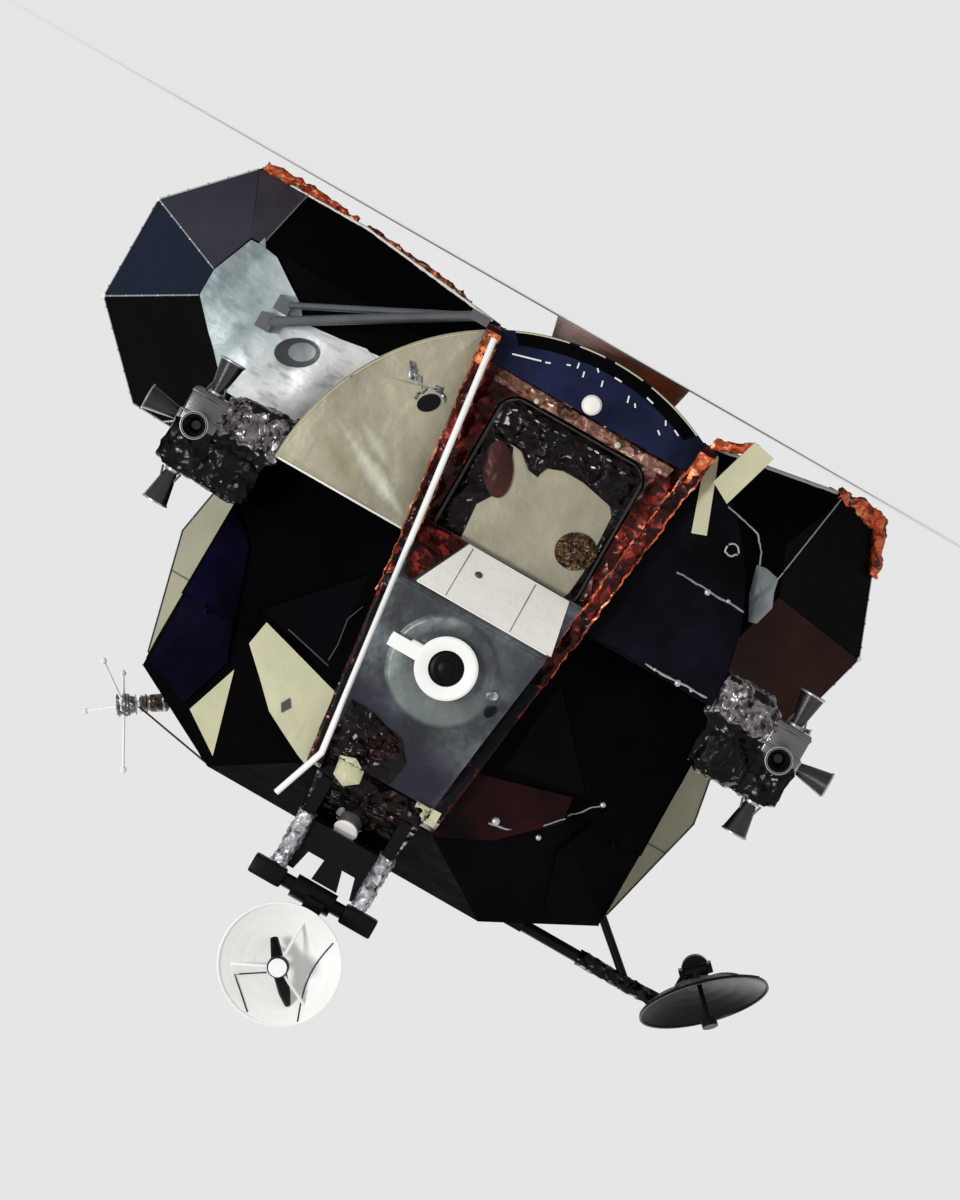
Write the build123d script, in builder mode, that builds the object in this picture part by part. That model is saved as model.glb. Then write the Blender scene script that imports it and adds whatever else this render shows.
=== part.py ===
"""Ascent stage of a crewed lunar lander, standing on its engine nozzle.

Millimetres. X points to the craft's left (port), -Y is the front with the hatch, Z is up.
The origin is on the vertical axis through docking port and engine, at the nozzle's exit plane.
"""

import os
from math import cos, radians, sin, sqrt

from build123d import *

os.makedirs("parts", exist_ok=True)

# Clearances
seat = 0.3
pin_play = 0.3

# Cabin cylinder, its axis along Y
hull_axis_z = 1290
hull_radius = 1232
hull_wall = 76
hull_bore = hull_radius - hull_wall
cabin_back = -686
upper_front = -1320
front_face = -1740
front_wall = 76
wall_inside = front_face + front_wall
floor_top = 430
floor_thickness = 40

# Upper cabin outline seen from the front
shield_step = 73
shield_x = hull_radius + shield_step
shield_foot_z = 1550
shoulder_z = 2535
deck_half_width = 775
deck_z = 2807

# Overhead window in the deck, above the port station
overhead_window_x = 480
overhead_window_y = -1060
overhead_window_size = (130, 300)
pane_depth = 40

# Forward hatch
hatch_size = 800
hatch_gap = 10
hatch_corner = 100
hatch_thickness = 50
hatch_foot_z = 445
hatch_centre_z = hatch_foot_z + hatch_size / 2
hinge_offset = 40
hinge_x = -(hatch_size / 2 + hinge_offset)
hinge_pin_radius = 12
hinge_barrel_radius = 24
hinge_barrel_length = 110
hinge_spread = 480
hinge_lug_width = 36
hinge_lug_thickness = 20
hinge_back_gap = 6
hinge_arm_reach = 90
hinge_arm_width = 60
hinge_y = wall_inside + hinge_barrel_radius + hinge_back_gap
recess_depth = 24
recess_face = front_face + recess_depth

# Centre section between the two front beams, narrower towards the top
centre_foot_rise = 145
centre_foot_z = hull_axis_z - hull_radius + centre_foot_rise
centre_taper = 0.125
beam_width = 75
beam_front = -1870
beam_top_z = 2500
beam_foot_rise = 120
beam_foot_set_back = 50
beam_top_set_back = 70
beam_top_slope = 60
beam_back = -1420
surround_rim = 8
surround_top_z = 1400
lip_top_z = 356
lip_front = -1800

# Window bays and brow
brow_z = 2110
window_in = (500, -1740, brow_z)
window_low = (500, -1490, hull_axis_z)
window_out = (shield_x, -1570, brow_z)
window_wall = 50
window_corners = [(500, 2060), (930, 1985), (545, 1560)]
pane_set_back = 10
pane_thickness = 12

# Forehead: the faceted front of the cabin above the windows
brow_front = -1760
brow_peak_x = 356
brow_peak_z = 2515
brow_tip = (890, brow_front, 2134)
brow_rise = 80
brow_side_rise = 40

# Nose between the beams
nose_foot_z = 1181
nose_foot_y = -1790
nose_lip_z = 1473
nose_lip_y = -2083
nose_bend_y = -2008
nose_bend_z = 1990
nose_top_y = -1850
nose_top_z = 2400

# Tracking light on the nose
light_x = -13
light_z = 1750
light_radius = 152
light_lens_radius = 89
light_front = -2123
light_lens_depth = 30
light_bracket = ((87, -2108, 1720), (297, -1993, 1790))

# Handrail up the port beam
rail_radius = 16
rail_stand_off = 55
rail_inset = 56
rail_foot_z = 254
rail_bend_z = 2420
rail_end_offset = (97, 30, 280)
rail_post_radius = 9
rail_post_heights = [430, 930, 1430, 1930, 2380]

# Midsection: outline seen from the front, and the room inside
mid_half_length = 686
mid_wall = 86
mid_floor_z = 203
mid_floor_top = 540
mid_roof_z = 2660
mid_inner_half_width = 1130
mid_doorway_half_width = 700
mid_doorway_top_z = 2060
roof_inside_z = 2400
mid_outline = [
    (700, mid_floor_z),
    (1245, 560),
    (1245, 1424),
    (1405, 1424),
    (1440, 1570),
    (1499, 1897),
    (1346, 2520),
    (950, mid_roof_z),
]

# Docking tunnel, ring and drogue
tunnel_radius = 406
tunnel_wall = 60
ring_top_z = 2832
ring_height = 70
ring_flange = 30
drogue_drop = 90
drogue_depth = 330
drogue_hole = 45
drogue_wall = 14

# Ascent engine: outside of the nozzle as radius and height, from the exit ring up
nozzle_exit_radius = 394
nozzle_throat_radius = 70
nozzle_wall = 14
nozzle_height = mid_floor_top
nozzle_stations = [(nozzle_exit_radius, 0), (366, 120), (310, 270), (215, 420)]
engine_radius = 330
engine_height = 540
engine_flange_radius = 420
engine_flange_height = 60
engine_well_foot = 400
engine_well_top = 150

# Tank bays: outlines seen from the front, and the planes that taper their ends
bay_half_length = 914
bay_flat_half_length = 356
port_bay_wall = 45
starboard_bay_wall = 80
port_bay_outline = [(640, 192), (1450, 97), (2060, 97), (2464, 501), (2464, 1073), (2060, 1477), (1100, 1477)]
starboard_bay_outline = [(640, 192), (1300, 76), (1560, 76), (1829, 762), (1702, 1230), (1500, 1420), (1100, 1420)]
port_bay_facets = [
    ((2464, -bay_flat_half_length, 501), (2464, -bay_flat_half_length, 1073), (2004, -bay_half_length, 658)),
    ((2464, -bay_flat_half_length, 501), (2004, -bay_half_length, 658), (1890, -bay_half_length, 361)),
    ((2464, -bay_flat_half_length, 1073), (2060, -bay_flat_half_length, 1477), (1996, -bay_half_length, 820)),
    ((1300, -bay_half_length, 430), (1700, -bay_half_length, 430), (1500, -600, 97)),
    ((1300, -bay_half_length, 1250), (1700, -bay_half_length, 1250), (1500, -500, 1477)),
]
starboard_bay_facets = [
    ((1829, -bay_flat_half_length, 762), (1560, -bay_flat_half_length, 76), (1240, -bay_half_length, 560)),
    ((1829, -bay_flat_half_length, 762), (1702, -bay_flat_half_length, 1230), (1260, -bay_half_length, 760)),
    ((1000, -bay_half_length, 430), (1200, -bay_half_length, 430), (1200, -600, 76)),
    ((1000, -bay_half_length, 1150), (1200, -bay_half_length, 1150), (1200, -500, 1420)),
]
bay_inside = (1400, 0, 700)

# Silver shield on the port bay's front
bay_shield_thickness = 20
bay_shield_outline = [
    (1000, 620),
    (1270, 1123),
    (1449, 1170),
    (1658, 1165),
    (1953, 849),
    (1969, 750),
    (1854, 394),
    (1660, 690),
]

# Thruster quads: distance of the cluster from both centre planes, and its box
quad_offset = 1640
quad_z = 1370
cluster_half_x = 95
cluster_half_y = 75
cluster_half_z = 190
side_bell_drop = 24
boom_inner_y = 1430
boom_outer_y = 1690
boom_foot_z = 1100
boom_ledge_z = 1345
boom_top_z = 1590
boom_neck_x = 1480
boom_neck_rise = 15
boom_end_rise = 80
fairing_chamfer = 35
fairing_root = (40, 50)

# Thruster bells: outside as distance from the base and radius
bell_stations = [(0, 28), (75, 44), (190, 66)]
bell_wall = 6
bell_floor = 30

# Aft equipment bay
aft_back = 1956
aft_half_width = 1118
aft_foot_z = 330
aft_foot_chamfer = (120, 170)
aft_shoulder = (760, 2050)
aft_top_z = 2440
aft_top_slope = (570, 260)
aft_foot_slope = (770, 190)
aft_wall = 155
aft_panel_columns = (-700, 0, 700)
aft_panel_width = 560
aft_panel_foot_z = 620
aft_panel_top_z = 2080
aft_panel_thickness = 35
aft_panel_rim = 60
aft_panel_recess = 10

# Rendezvous radar
radar_axis_y = -1750
radar_axis_z = 3065
radar_arm_x = 224
radar_arm_width = 64
radar_shaft_radius = 36
radar_end_box_half = 45
radar_end_box_x = 340
radar_drum_radius = 60
radar_drum_half = 110
radar_web_foot_z = 2740
radar_web_open_z = 2890
radar_web_back = -1665
radar_web_front = -1735
radar_dish_radius = 305
radar_dish_z = 3408
radar_rim_y = -2032
radar_dish_depth = 95
radar_dish_wall = 12
radar_box_half_width = 95
radar_box_top = 90
radar_box_gap = 20
trunnion_x = -25
trunnion_y = -1850
trunnion_pin_radius = 24
trunnion_rise = 60
yoke_top = 3180
yoke_post_half = 50
radar_foot_block = ((-1560, 2740), (-1440, 2860))
radar_feed_reach = 150
radar_feed_length = 80
radar_feed_radius = 45
radar_feed_rod_radius = 14
radar_leg_rod_radius = 8
radar_leg_radius = 235
radar_leg_angles = (60, 180, 300)

# Steerable antenna on the starboard boom
steer_reach = 1849
steer_forward = 1180
steer_height = 2502
steer_pivot = Vector(-steer_reach, -steer_forward, steer_height)
steer_boom_y = -800
steer_boom_z = 2769
steer_boom_root_x = -820
steer_boom_radius = 32
steer_elbow_radius = 40
steer_brace_radius = 22
steer_brace_foot = (-1290, 2500)
steer_brace_top_x = -1600
steer_root_block = ((-1000, 2600), (-860, 2800))
steer_root_block_half = 70
steer_dish_radius = 330
steer_rim_offset = 170
steer_vertex_offset = 75
steer_wall = 12
steer_tilt = 66
steer_pin_radius = 16
steer_drum_radius = 70
steer_drum_near = 90
steer_drum_far = 170
steer_post_length = 60
steer_feed_reach = 130
steer_feed_length = 40
steer_feed_radius = 40
steer_feed_rod_radius = 12
steer_neck_radius = 30
steer_hub_play = 8
fork_gap = 62
fork_arm = 22
fork_depth = 50

# Rod antennas: foot and hub of the mast, and where its balls are from the hub
rod_port_foot = (1000, 2600)
rod_port_hub = (1311, 2808)
rod_aft_foot = (-700, 500)
rod_aft_hub = (-900, 400)
rod_aft_sink = 60
rod_aft_height = 260
rod_antenna_table = [
    ("port", (rod_port_foot[0], steer_boom_y, rod_port_foot[1]), (rod_port_hub[0], steer_boom_y, rod_port_hub[1])),
    (
        "aft",
        (rod_aft_foot[0], aft_back - rod_aft_foot[1], aft_top_z - rod_aft_sink),
        (rod_aft_hub[0], aft_back - rod_aft_hub[1], aft_top_z + rod_aft_height),
    ),
]
ball_offsets = [(-160, -60, 280), (200, -60, -150), (90, 90, -130), (160, 40, 130)]
antenna_mast_radius = 20
antenna_rod_radius = 7
antenna_ball_radius = 18
antenna_hub = (70, 60, 60)

# Sides: name and sign of x
sides = [("port", 1), ("starboard", -1)]


def save(piece, name):
    """Label a finished piece and write its file."""
    piece.part.label = name
    export_step(piece.part, f"parts/{name}.step")


def from_front(points, back, front, mode=Mode.ADD, grow=0):
    """Extrude an outline seen from the front, points (x, z), from y back to y front."""
    with BuildSketch(Plane.XZ.offset(-back)) as outline:
        with BuildLine():
            Polyline(*points, close=True)
        make_face()
        if grow:
            offset(amount=grow, kind=Kind.INTERSECTION)
    extrude(outline.sketch, amount=back - front, mode=mode)


def from_side(points, low, high, mode=Mode.ADD):
    """Extrude an outline seen from the side, points (y, z), from x low to x high."""
    with BuildSketch(Plane.YZ.offset(low)) as outline:
        with BuildLine():
            Polyline(*points, close=True)
        make_face()
    extrude(outline.sketch, amount=high - low, mode=mode)


def from_above(points, low, high, mode=Mode.ADD):
    """Extrude an outline seen from above, points (x, y), from z low to z high."""
    with BuildSketch(Plane.XY.offset(low)) as outline:
        with BuildLine():
            Polyline(*points, close=True)
        make_face()
    extrude(outline.sketch, amount=high - low, mode=mode)


def block(corner, opposite, mode=Mode.ADD):
    """Box between two opposite corners."""
    low = [min(a, b) for a, b in zip(corner, opposite)]
    high = [max(a, b) for a, b in zip(corner, opposite)]
    points = [(low[0], low[1]), (high[0], low[1]), (high[0], high[1]), (low[0], high[1])]
    from_above(points, low[2], high[2], mode)


def rod(start, end, radius, mode=Mode.ADD):
    """Round bar between two points."""
    axis = Vector(*end) - Vector(*start)
    with BuildSketch(Plane(origin=Vector(*start), z_dir=axis)) as section:
        Circle(radius)
    extrude(section.sketch, amount=axis.length, mode=mode)


def drum(centre_x, centre_z, radius, back, front, mode=Mode.ADD):
    """Cylinder along Y."""
    rod((centre_x, back, centre_z), (centre_x, front, centre_z), radius, mode)


def turned(origin, way, profile, mode=Mode.ADD):
    """Revolve a closed profile, points (radius, distance along way), about the line from the origin."""
    way = Vector(*way).normalized()
    across = way.cross(Vector(0.31, 0.2, 0.93)).normalized()
    section_plane = Plane(origin=Vector(*origin), x_dir=across, z_dir=across.cross(way))
    with BuildSketch(section_plane) as section:
        with BuildLine():
            Polyline(*profile, close=True)
        make_face()
    revolve(section.sketch, axis=Axis(origin=Vector(*origin), direction=way), mode=mode)


def ball(centre, radius):
    """Ball of four cone bands."""
    rim = radius * cos(radians(45))
    turned(centre, (0, 0, 1), [(0, -radius), (rim, -rim), (radius, 0), (rim, rim), (0, radius)])


def dish_profile(radius, depth, wall, bands=5):
    """Bowl of parabolic section in cone bands, its vertex at distance 0, as closed profile."""
    inside = [(radius * i / bands, depth * (i / bands) ** 2) for i in range(bands + 1)]
    outside = [(r, distance - wall) for r, distance in reversed(inside)]
    return inside + outside


def facet(a, b, c, inside):
    """Plane through three points, its normal turned away from an inside point."""
    a, b, c, inside = Vector(*a), Vector(*b), Vector(*c), Vector(*inside)
    normal = (b - a).cross(c - a).normalized()
    if normal.dot(inside - a) > 0:
        normal = normal * -1
    return Plane(origin=a, z_dir=normal)


def trim(facets, inside, inset=0):
    """Cut the piece in work back to planes through three points each, moved inward by the inset."""
    for a, b, c in facets:
        split(bisect_by=facet(a, b, c, inside).offset(-inset), keep=Keep.BOTTOM)


def mirrored(points):
    """The same points on the other side of x = 0."""
    return [(-point[0], *point[1:]) for point in points]


def closed_outline(points):
    """Outline completed by its mirror image across x = 0."""
    return points + mirrored(reversed(points))


def sided(sign, points):
    """Points given for the port side, put on the side with this sign of x."""
    return [(sign * point[0], *point[1:]) for point in points]


def centre_half_width(z):
    """Half width of the centre section: hatch, gap and rim at the rim's top, then the beam."""
    at_rim_top = hatch_size / 2 + hatch_gap + surround_rim + beam_width
    return at_rim_top + centre_taper * (surround_top_z - z)


def between_beams(z):
    """Half width between the two front beams at a height."""
    return centre_half_width(z) - beam_width


# Cabin: lower half shell, upper shell with its flat-sided shield, floor
with BuildPart() as cabin_lower_shell:
    drum(0, hull_axis_z, hull_radius, cabin_back, wall_inside)
    drum(0, hull_axis_z, hull_bore, cabin_back, wall_inside, Mode.SUBTRACT)
    split(bisect_by=Plane.XY.offset(hull_axis_z), keep=Keep.BOTTOM)
save(cabin_lower_shell, "cabin_lower_shell")

upper_outline = closed_outline(
    [(hull_radius, hull_axis_z), (shield_x, shield_foot_z), (shield_x, shoulder_z), (deck_half_width, deck_z)]
)
with BuildPart() as cabin_upper_shell:
    from_front(upper_outline, cabin_back, upper_front)
    drum(0, hull_axis_z, hull_bore, cabin_back, upper_front, Mode.SUBTRACT)
    with BuildSketch(Plane.XY.offset(hull_axis_z)):
        with Locations((overhead_window_x, overhead_window_y)):
            Rectangle(*overhead_window_size)
    extrude(amount=deck_z, mode=Mode.SUBTRACT)
save(cabin_upper_shell, "cabin_upper_shell")

with BuildPart() as overhead_pane:
    with BuildSketch(Plane.XY.offset(deck_z - pane_depth)):
        with Locations((overhead_window_x, overhead_window_y)):
            Rectangle(*overhead_window_size)
    extrude(amount=pane_thickness)
save(overhead_pane, "overhead_window_pane")

floor_drop = hull_axis_z - floor_top + floor_thickness
floor_half_width = sqrt(hull_bore**2 - floor_drop**2) - 2
with BuildPart() as cabin_floor:
    block(
        (-floor_half_width, wall_inside, floor_top - floor_thickness),
        (floor_half_width, cabin_back, floor_top),
    )
save(cabin_floor, "cabin_floor")

# Lower front face: one curved-edge panel each side of the centre section
for side, sign in sides:
    beside_centre = [
        (centre_half_width(0), 0),
        (centre_half_width(hull_axis_z), hull_axis_z),
        (2 * hull_radius, hull_axis_z),
        (2 * hull_radius, 0),
    ]
    with BuildPart() as lower_front_panel:
        drum(0, hull_axis_z, hull_radius, wall_inside, front_face)
        from_front(sided(sign, beside_centre), wall_inside, front_face, Mode.INTERSECT)
    save(lower_front_panel, f"lower_front_panel_{side}")

# Lip below the hatch: the hull's front edge between the beams, clear of the fittings at their feet
lip_side = [
    (between_beams(centre_foot_z) - seat, 0),
    (between_beams(centre_foot_z) - seat, centre_foot_z),
    (between_beams(centre_foot_z), centre_foot_z),
    (between_beams(lip_top_z), lip_top_z),
]
with BuildPart() as lower_lip:
    drum(0, hull_axis_z, hull_radius, wall_inside, lip_front)
    from_front(
        closed_outline(lip_side),
        wall_inside,
        lip_front,
        Mode.INTERSECT,
    )
save(lower_lip, "lower_lip")

# Recessed plate round the forward hatch, with the hinge lugs behind its starboard edge
hatch_opening = hatch_size + 2 * hatch_gap
hinge_heights = (hatch_centre_z - hinge_spread / 2, hatch_centre_z + hinge_spread / 2)
lug_centre = hinge_barrel_length / 2 + seat + hinge_lug_thickness / 2
with BuildPart() as hatch_surround:
    from_front(
        closed_outline([(between_beams(lip_top_z), lip_top_z), (between_beams(surround_top_z), surround_top_z)]),
        wall_inside,
        recess_face,
    )
    with BuildSketch(Plane.XZ.offset(-wall_inside)):
        with Locations((0, hatch_centre_z)):
            RectangleRounded(hatch_opening, hatch_opening, hatch_corner + hatch_gap)
    extrude(amount=wall_inside - recess_face, mode=Mode.SUBTRACT)
    for hinge_z in hinge_heights:
        for lug_z in (hinge_z - lug_centre, hinge_z + lug_centre):
            block(
                (hinge_x - hinge_lug_width / 2, wall_inside, lug_z - hinge_lug_thickness / 2),
                (hinge_x + hinge_lug_width / 2, hinge_y + hinge_lug_width / 2, lug_z + hinge_lug_thickness / 2),
            )
        rod((hinge_x, hinge_y, hinge_z - lug_centre), (hinge_x, hinge_y, hinge_z + lug_centre), hinge_pin_radius)
save(hatch_surround, "hatch_surround")

# Forward hatch: rounded plate whose two arms reach round its starboard edge to the barrels
with BuildPart() as forward_hatch:
    with BuildSketch(Plane.XZ.offset(-wall_inside)):
        with Locations((0, hatch_centre_z)):
            RectangleRounded(hatch_size, hatch_size, hatch_corner)
    extrude(amount=hatch_thickness)
    for hinge_z in hinge_heights:
        low_z = hinge_z - hinge_barrel_length / 2
        high_z = hinge_z + hinge_barrel_length / 2
        arm_end = -hatch_size / 2 + hinge_arm_reach
        rod((hinge_x, hinge_y, low_z), (hinge_x, hinge_y, high_z), hinge_barrel_radius)
        block((hinge_x, hinge_y, low_z), (arm_end, hinge_y + hinge_barrel_radius, high_z))
        block((arm_end - hinge_arm_width, wall_inside, low_z), (arm_end, hinge_y, high_z))
        rod(
            (hinge_x, hinge_y, low_z),
            (hinge_x, hinge_y, high_z),
            hinge_pin_radius + pin_play,
            Mode.SUBTRACT,
        )
save(forward_hatch, "forward_hatch")

# Front beams: deep sides of the centre section, from the stage fittings to the brow
beam_profile = [
    (wall_inside, centre_foot_z),
    (beam_front + beam_foot_set_back, centre_foot_z),
    (beam_front, centre_foot_z + beam_foot_rise),
    (beam_front, beam_top_z - beam_top_slope),
    (beam_front + beam_top_set_back, beam_top_z),
    (brow_front, beam_top_z),
    (brow_front, brow_z),
    (beam_back, brow_z),
    (beam_back, hull_axis_z),
    (wall_inside, hull_axis_z),
]
beam_band = [
    (centre_half_width(0), 0),
    (centre_half_width(deck_z), deck_z),
    (between_beams(deck_z), deck_z),
    (between_beams(0), 0),
]
for side, sign in sides:
    with BuildPart() as front_beam:
        from_side(beam_profile, 0 if sign > 0 else -hull_radius, hull_radius if sign > 0 else 0)
        from_front(sided(sign, beam_band), beam_back, beam_front, Mode.INTERSECT)
    save(front_beam, f"front_beam_{side}")

# Window bays: the canted front walls with their triangular windows, and the ledge below
window_bay_outline = [
    (centre_half_width(hull_axis_z), hull_axis_z),
    (hull_radius, hull_axis_z),
    (shield_x, shield_foot_z),
    (shield_x, brow_z),
    (centre_half_width(brow_z), brow_z),
]
ledge_foot_z = hull_axis_z - window_wall
ledge_end = sqrt(hull_bore**2 - window_wall**2) - 1
ledge_outline = [
    (centre_half_width(ledge_foot_z), ledge_foot_z),
    (ledge_end, ledge_foot_z),
    (ledge_end, hull_axis_z),
    (centre_half_width(hull_axis_z), hull_axis_z),
]
for side, sign in sides:
    window_plane = facet(*sided(sign, [window_in, window_low, window_out, (window_in[0], 0, hull_axis_z)]))
    with BuildPart() as bay_hollow:
        drum(0, hull_axis_z, hull_bore, upper_front, front_face)
        split(bisect_by=window_plane.offset(-window_wall), keep=Keep.BOTTOM)
    with BuildPart() as window_bay:
        from_front(sided(sign, window_bay_outline), upper_front, brow_front)
        split(bisect_by=window_plane, keep=Keep.BOTTOM)
        add(bay_hollow.part, mode=Mode.SUBTRACT)
        from_front(sided(sign, window_corners), upper_front, brow_front, Mode.SUBTRACT)
        from_front(sided(sign, ledge_outline), upper_front, wall_inside)
    save(window_bay, f"window_bay_{side}")
    with BuildPart() as window_pane:
        from_front(sided(sign, window_corners), upper_front, brow_front)
        split(bisect_by=window_plane.offset(-pane_set_back), keep=Keep.BOTTOM)
        split(bisect_by=window_plane.offset(-pane_set_back - pane_thickness), keep=Keep.TOP)
    save(window_pane, f"window_pane_{side}")

# Forehead above the windows: one facet across the middle, two on each side
brow_side_facets = [
    ((brow_peak_x, brow_front, brow_peak_z), brow_tip, (deck_half_width, upper_front - brow_rise, deck_z)),
    (brow_tip, (brow_tip[0], brow_front, brow_z), (shield_x, upper_front - brow_side_rise, brow_z + 200)),
]
brow_middle_facet = [
    (-brow_peak_x, brow_front, brow_peak_z),
    (brow_peak_x, brow_front, brow_peak_z),
    (0, upper_front - brow_rise, deck_z),
]
inside_forehead = (0, upper_front - 50, brow_z + 50)
with BuildPart() as forehead:
    from_front(
        closed_outline([(shield_x, brow_z), (shield_x, shoulder_z), (deck_half_width, deck_z)]),
        upper_front,
        brow_front,
    )
    trim([brow_middle_facet], inside_forehead)
    for side, sign in sides:
        trim([sided(sign, three) for three in brow_side_facets], inside_forehead)
save(forehead, "forehead")

# Nose: the faceted box between the beams, its lower face leaning out over the hatch
nose_profile = [
    (recess_face, nose_foot_z),
    (nose_foot_y, nose_foot_z),
    (nose_lip_y, nose_lip_z),
    (nose_bend_y, nose_bend_z),
    (nose_top_y, nose_top_z),
    (brow_front, nose_top_z),
    (brow_front, brow_z),
    (wall_inside, brow_z),
    (wall_inside, surround_top_z),
    (recess_face, surround_top_z),
]
with BuildPart() as nose:
    from_side(nose_profile, -hull_radius, hull_radius)
    from_front(
        closed_outline([(between_beams(nose_foot_z), nose_foot_z), (between_beams(nose_top_z), nose_top_z)]),
        wall_inside,
        nose_lip_y,
        Mode.INTERSECT,
    )
save(nose, "nose")

# Tracking light on the nose
with BuildPart() as tracking_light:
    drum(light_x, light_z, light_radius, nose_bend_y, light_front)
    drum(light_x, light_z, light_lens_radius, light_front + light_lens_depth, light_front, Mode.SUBTRACT)
    block(*light_bracket)
    add(nose.part, mode=Mode.SUBTRACT)
save(tracking_light, "tracking_light")

# Handrail up the port beam
rail_y = beam_front - rail_stand_off
rail_foot = (centre_half_width(rail_foot_z) - rail_inset, rail_y, rail_foot_z)
rail_bend = (centre_half_width(rail_bend_z) - rail_inset, rail_y, rail_bend_z)
rail_end = tuple(place + step for place, step in zip(rail_bend, rail_end_offset))
with BuildPart() as handrail:
    rod(rail_foot, rail_bend, rail_radius)
    ball(rail_bend, rail_radius)
    rod(rail_bend, rail_end, rail_radius)
    for post_z in rail_post_heights:
        share = (post_z - rail_foot[2]) / (rail_bend[2] - rail_foot[2])
        post_x = rail_foot[0] + share * (rail_bend[0] - rail_foot[0])
        rod((post_x, beam_front, post_z), (post_x, rail_y, post_z), rail_post_radius)
save(handrail, "handrail")

# Midsection: hollow, open to the cabin at its front, with a conical well for the nozzle
well_profile = [
    (0, mid_floor_z),
    (engine_well_foot, mid_floor_z),
    (engine_well_top, mid_floor_top),
    (0, mid_floor_top),
]
with BuildPart() as midsection:
    from_front(closed_outline(mid_outline), mid_half_length, cabin_back)
    block(
        (-mid_inner_half_width, cabin_back + mid_wall, mid_floor_top),
        (mid_inner_half_width, mid_half_length - mid_wall, roof_inside_z),
        Mode.SUBTRACT,
    )
    block(
        (-mid_doorway_half_width, cabin_back, mid_floor_top),
        (mid_doorway_half_width, cabin_back + mid_wall, mid_doorway_top_z),
        Mode.SUBTRACT,
    )
    rod((0, 0, roof_inside_z), (0, 0, mid_roof_z), tunnel_radius + tunnel_wall, Mode.SUBTRACT)
    turned((0, 0, 0), (0, 0, 1), well_profile, Mode.SUBTRACT)
save(midsection, "midsection")

# Docking tunnel with its ring, and the drogue cone inside it
ring_radius = tunnel_radius + tunnel_wall + ring_flange
with BuildPart() as docking_tunnel:
    rod((0, 0, roof_inside_z), (0, 0, ring_top_z), tunnel_radius + tunnel_wall)
    rod((0, 0, ring_top_z - ring_height), (0, 0, ring_top_z), ring_radius)
    rod((0, 0, roof_inside_z), (0, 0, ring_top_z), tunnel_radius, Mode.SUBTRACT)
save(docking_tunnel, "docking_tunnel")

drogue_profile = [
    (tunnel_radius, 0),
    (drogue_hole, -drogue_depth),
    (drogue_hole + drogue_wall, -drogue_depth - drogue_wall),
    (tunnel_radius, -3 * drogue_wall),
]
with BuildPart() as drogue:
    turned((0, 0, ring_top_z - drogue_drop), (0, 0, 1), drogue_profile)
save(drogue, "docking_drogue")

# Alignment telescope on the forehead, looking up and forward
telescope_x = 20
telescope_y = -1500
telescope_z = 2560
telescope_radius = 60
telescope_length = 226
telescope_lens_radius = 40
telescope_lens_depth = 36
telescope_collar_radius = 85
telescope_collar_low = 85
telescope_collar_high = 140
telescope_foot = (telescope_x, telescope_y, telescope_z)
telescope_way = (0, -1, 1)
telescope_tube = [
    (0, 0),
    (telescope_radius, 0),
    (telescope_radius, telescope_length),
    (telescope_lens_radius, telescope_length),
    (telescope_lens_radius, telescope_length - telescope_lens_depth),
    (0, telescope_length - telescope_lens_depth),
]
telescope_collar = [
    (0, telescope_collar_low),
    (telescope_collar_radius, telescope_collar_low),
    (telescope_collar_radius, telescope_collar_high),
    (0, telescope_collar_high),
]
with BuildPart() as telescope:
    turned(telescope_foot, telescope_way, telescope_tube)
    turned(telescope_foot, telescope_way, telescope_collar)
    add(forehead.part, mode=Mode.SUBTRACT)
save(telescope, "alignment_telescope")

# Docking target on the upper deck: disc, post and cross
target_x = -560
target_y = 470
target_radius = 200
target_plate = 20
target_height = 120
target_arm = 80
target_bar = 12
with BuildPart() as docking_target:
    foot = (target_x, target_y, mid_roof_z)
    rod(foot, (target_x, target_y, mid_roof_z + target_plate), target_radius)
    rod(foot, (target_x, target_y, mid_roof_z + target_height), target_bar)
    for reach_x, reach_y in ((target_arm, target_bar), (target_bar, target_arm)):
        block(
            (target_x - reach_x, target_y - reach_y, mid_roof_z + target_height - 2 * target_bar),
            (target_x + reach_x, target_y + reach_y, mid_roof_z + target_height),
        )
save(docking_target, "docking_target")


def tank_bay_form(sign, outline, facets, inset):
    """A tank bay's outer form, or the hollow inside it when the inset is its wall."""
    front = -bay_half_length + inset
    back = bay_half_length - inset
    clear = 10
    with BuildPart() as form:
        from_front(sided(sign, outline), back, front, grow=-inset)
        for end in (1, -1):
            ended = [[(sign * x, end * y, z) for x, y, z in three] for three in facets]
            trim(ended, (sign * bay_inside[0], bay_inside[1], bay_inside[2]), inset)
        from_front(closed_outline(mid_outline), mid_half_length + inset, cabin_back - inset, Mode.SUBTRACT, inset)
        from_front(upper_outline, cabin_back + inset, front - clear, Mode.SUBTRACT, inset)
        drum(0, hull_axis_z, hull_radius + inset, cabin_back + inset, front - clear, Mode.SUBTRACT)
        behind_mid = mid_outline[1][0] + inset
        block((-behind_mid, mid_half_length - inset, 0), (behind_mid, back + clear, deck_z), Mode.SUBTRACT)
    return form.part


# Tank bays: hollow, with tapering ends
bay_table = [
    ("port", 1, port_bay_wall, port_bay_outline, port_bay_facets),
    ("starboard", -1, starboard_bay_wall, starboard_bay_outline, starboard_bay_facets),
]
for side, sign, wall, outline, facets in bay_table:
    with BuildPart() as tank_bay:
        add(tank_bay_form(sign, outline, facets, 0))
        add(tank_bay_form(sign, outline, facets, wall), mode=Mode.SUBTRACT)
    save(tank_bay, f"tank_bay_{side}")

with BuildPart() as bay_shield:
    from_front(bay_shield_outline, -bay_half_length, -bay_half_length - bay_shield_thickness)
    drum(0, hull_axis_z, hull_radius, -bay_half_length, front_face, Mode.SUBTRACT)
save(bay_shield, "tank_bay_front_shield")

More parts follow.
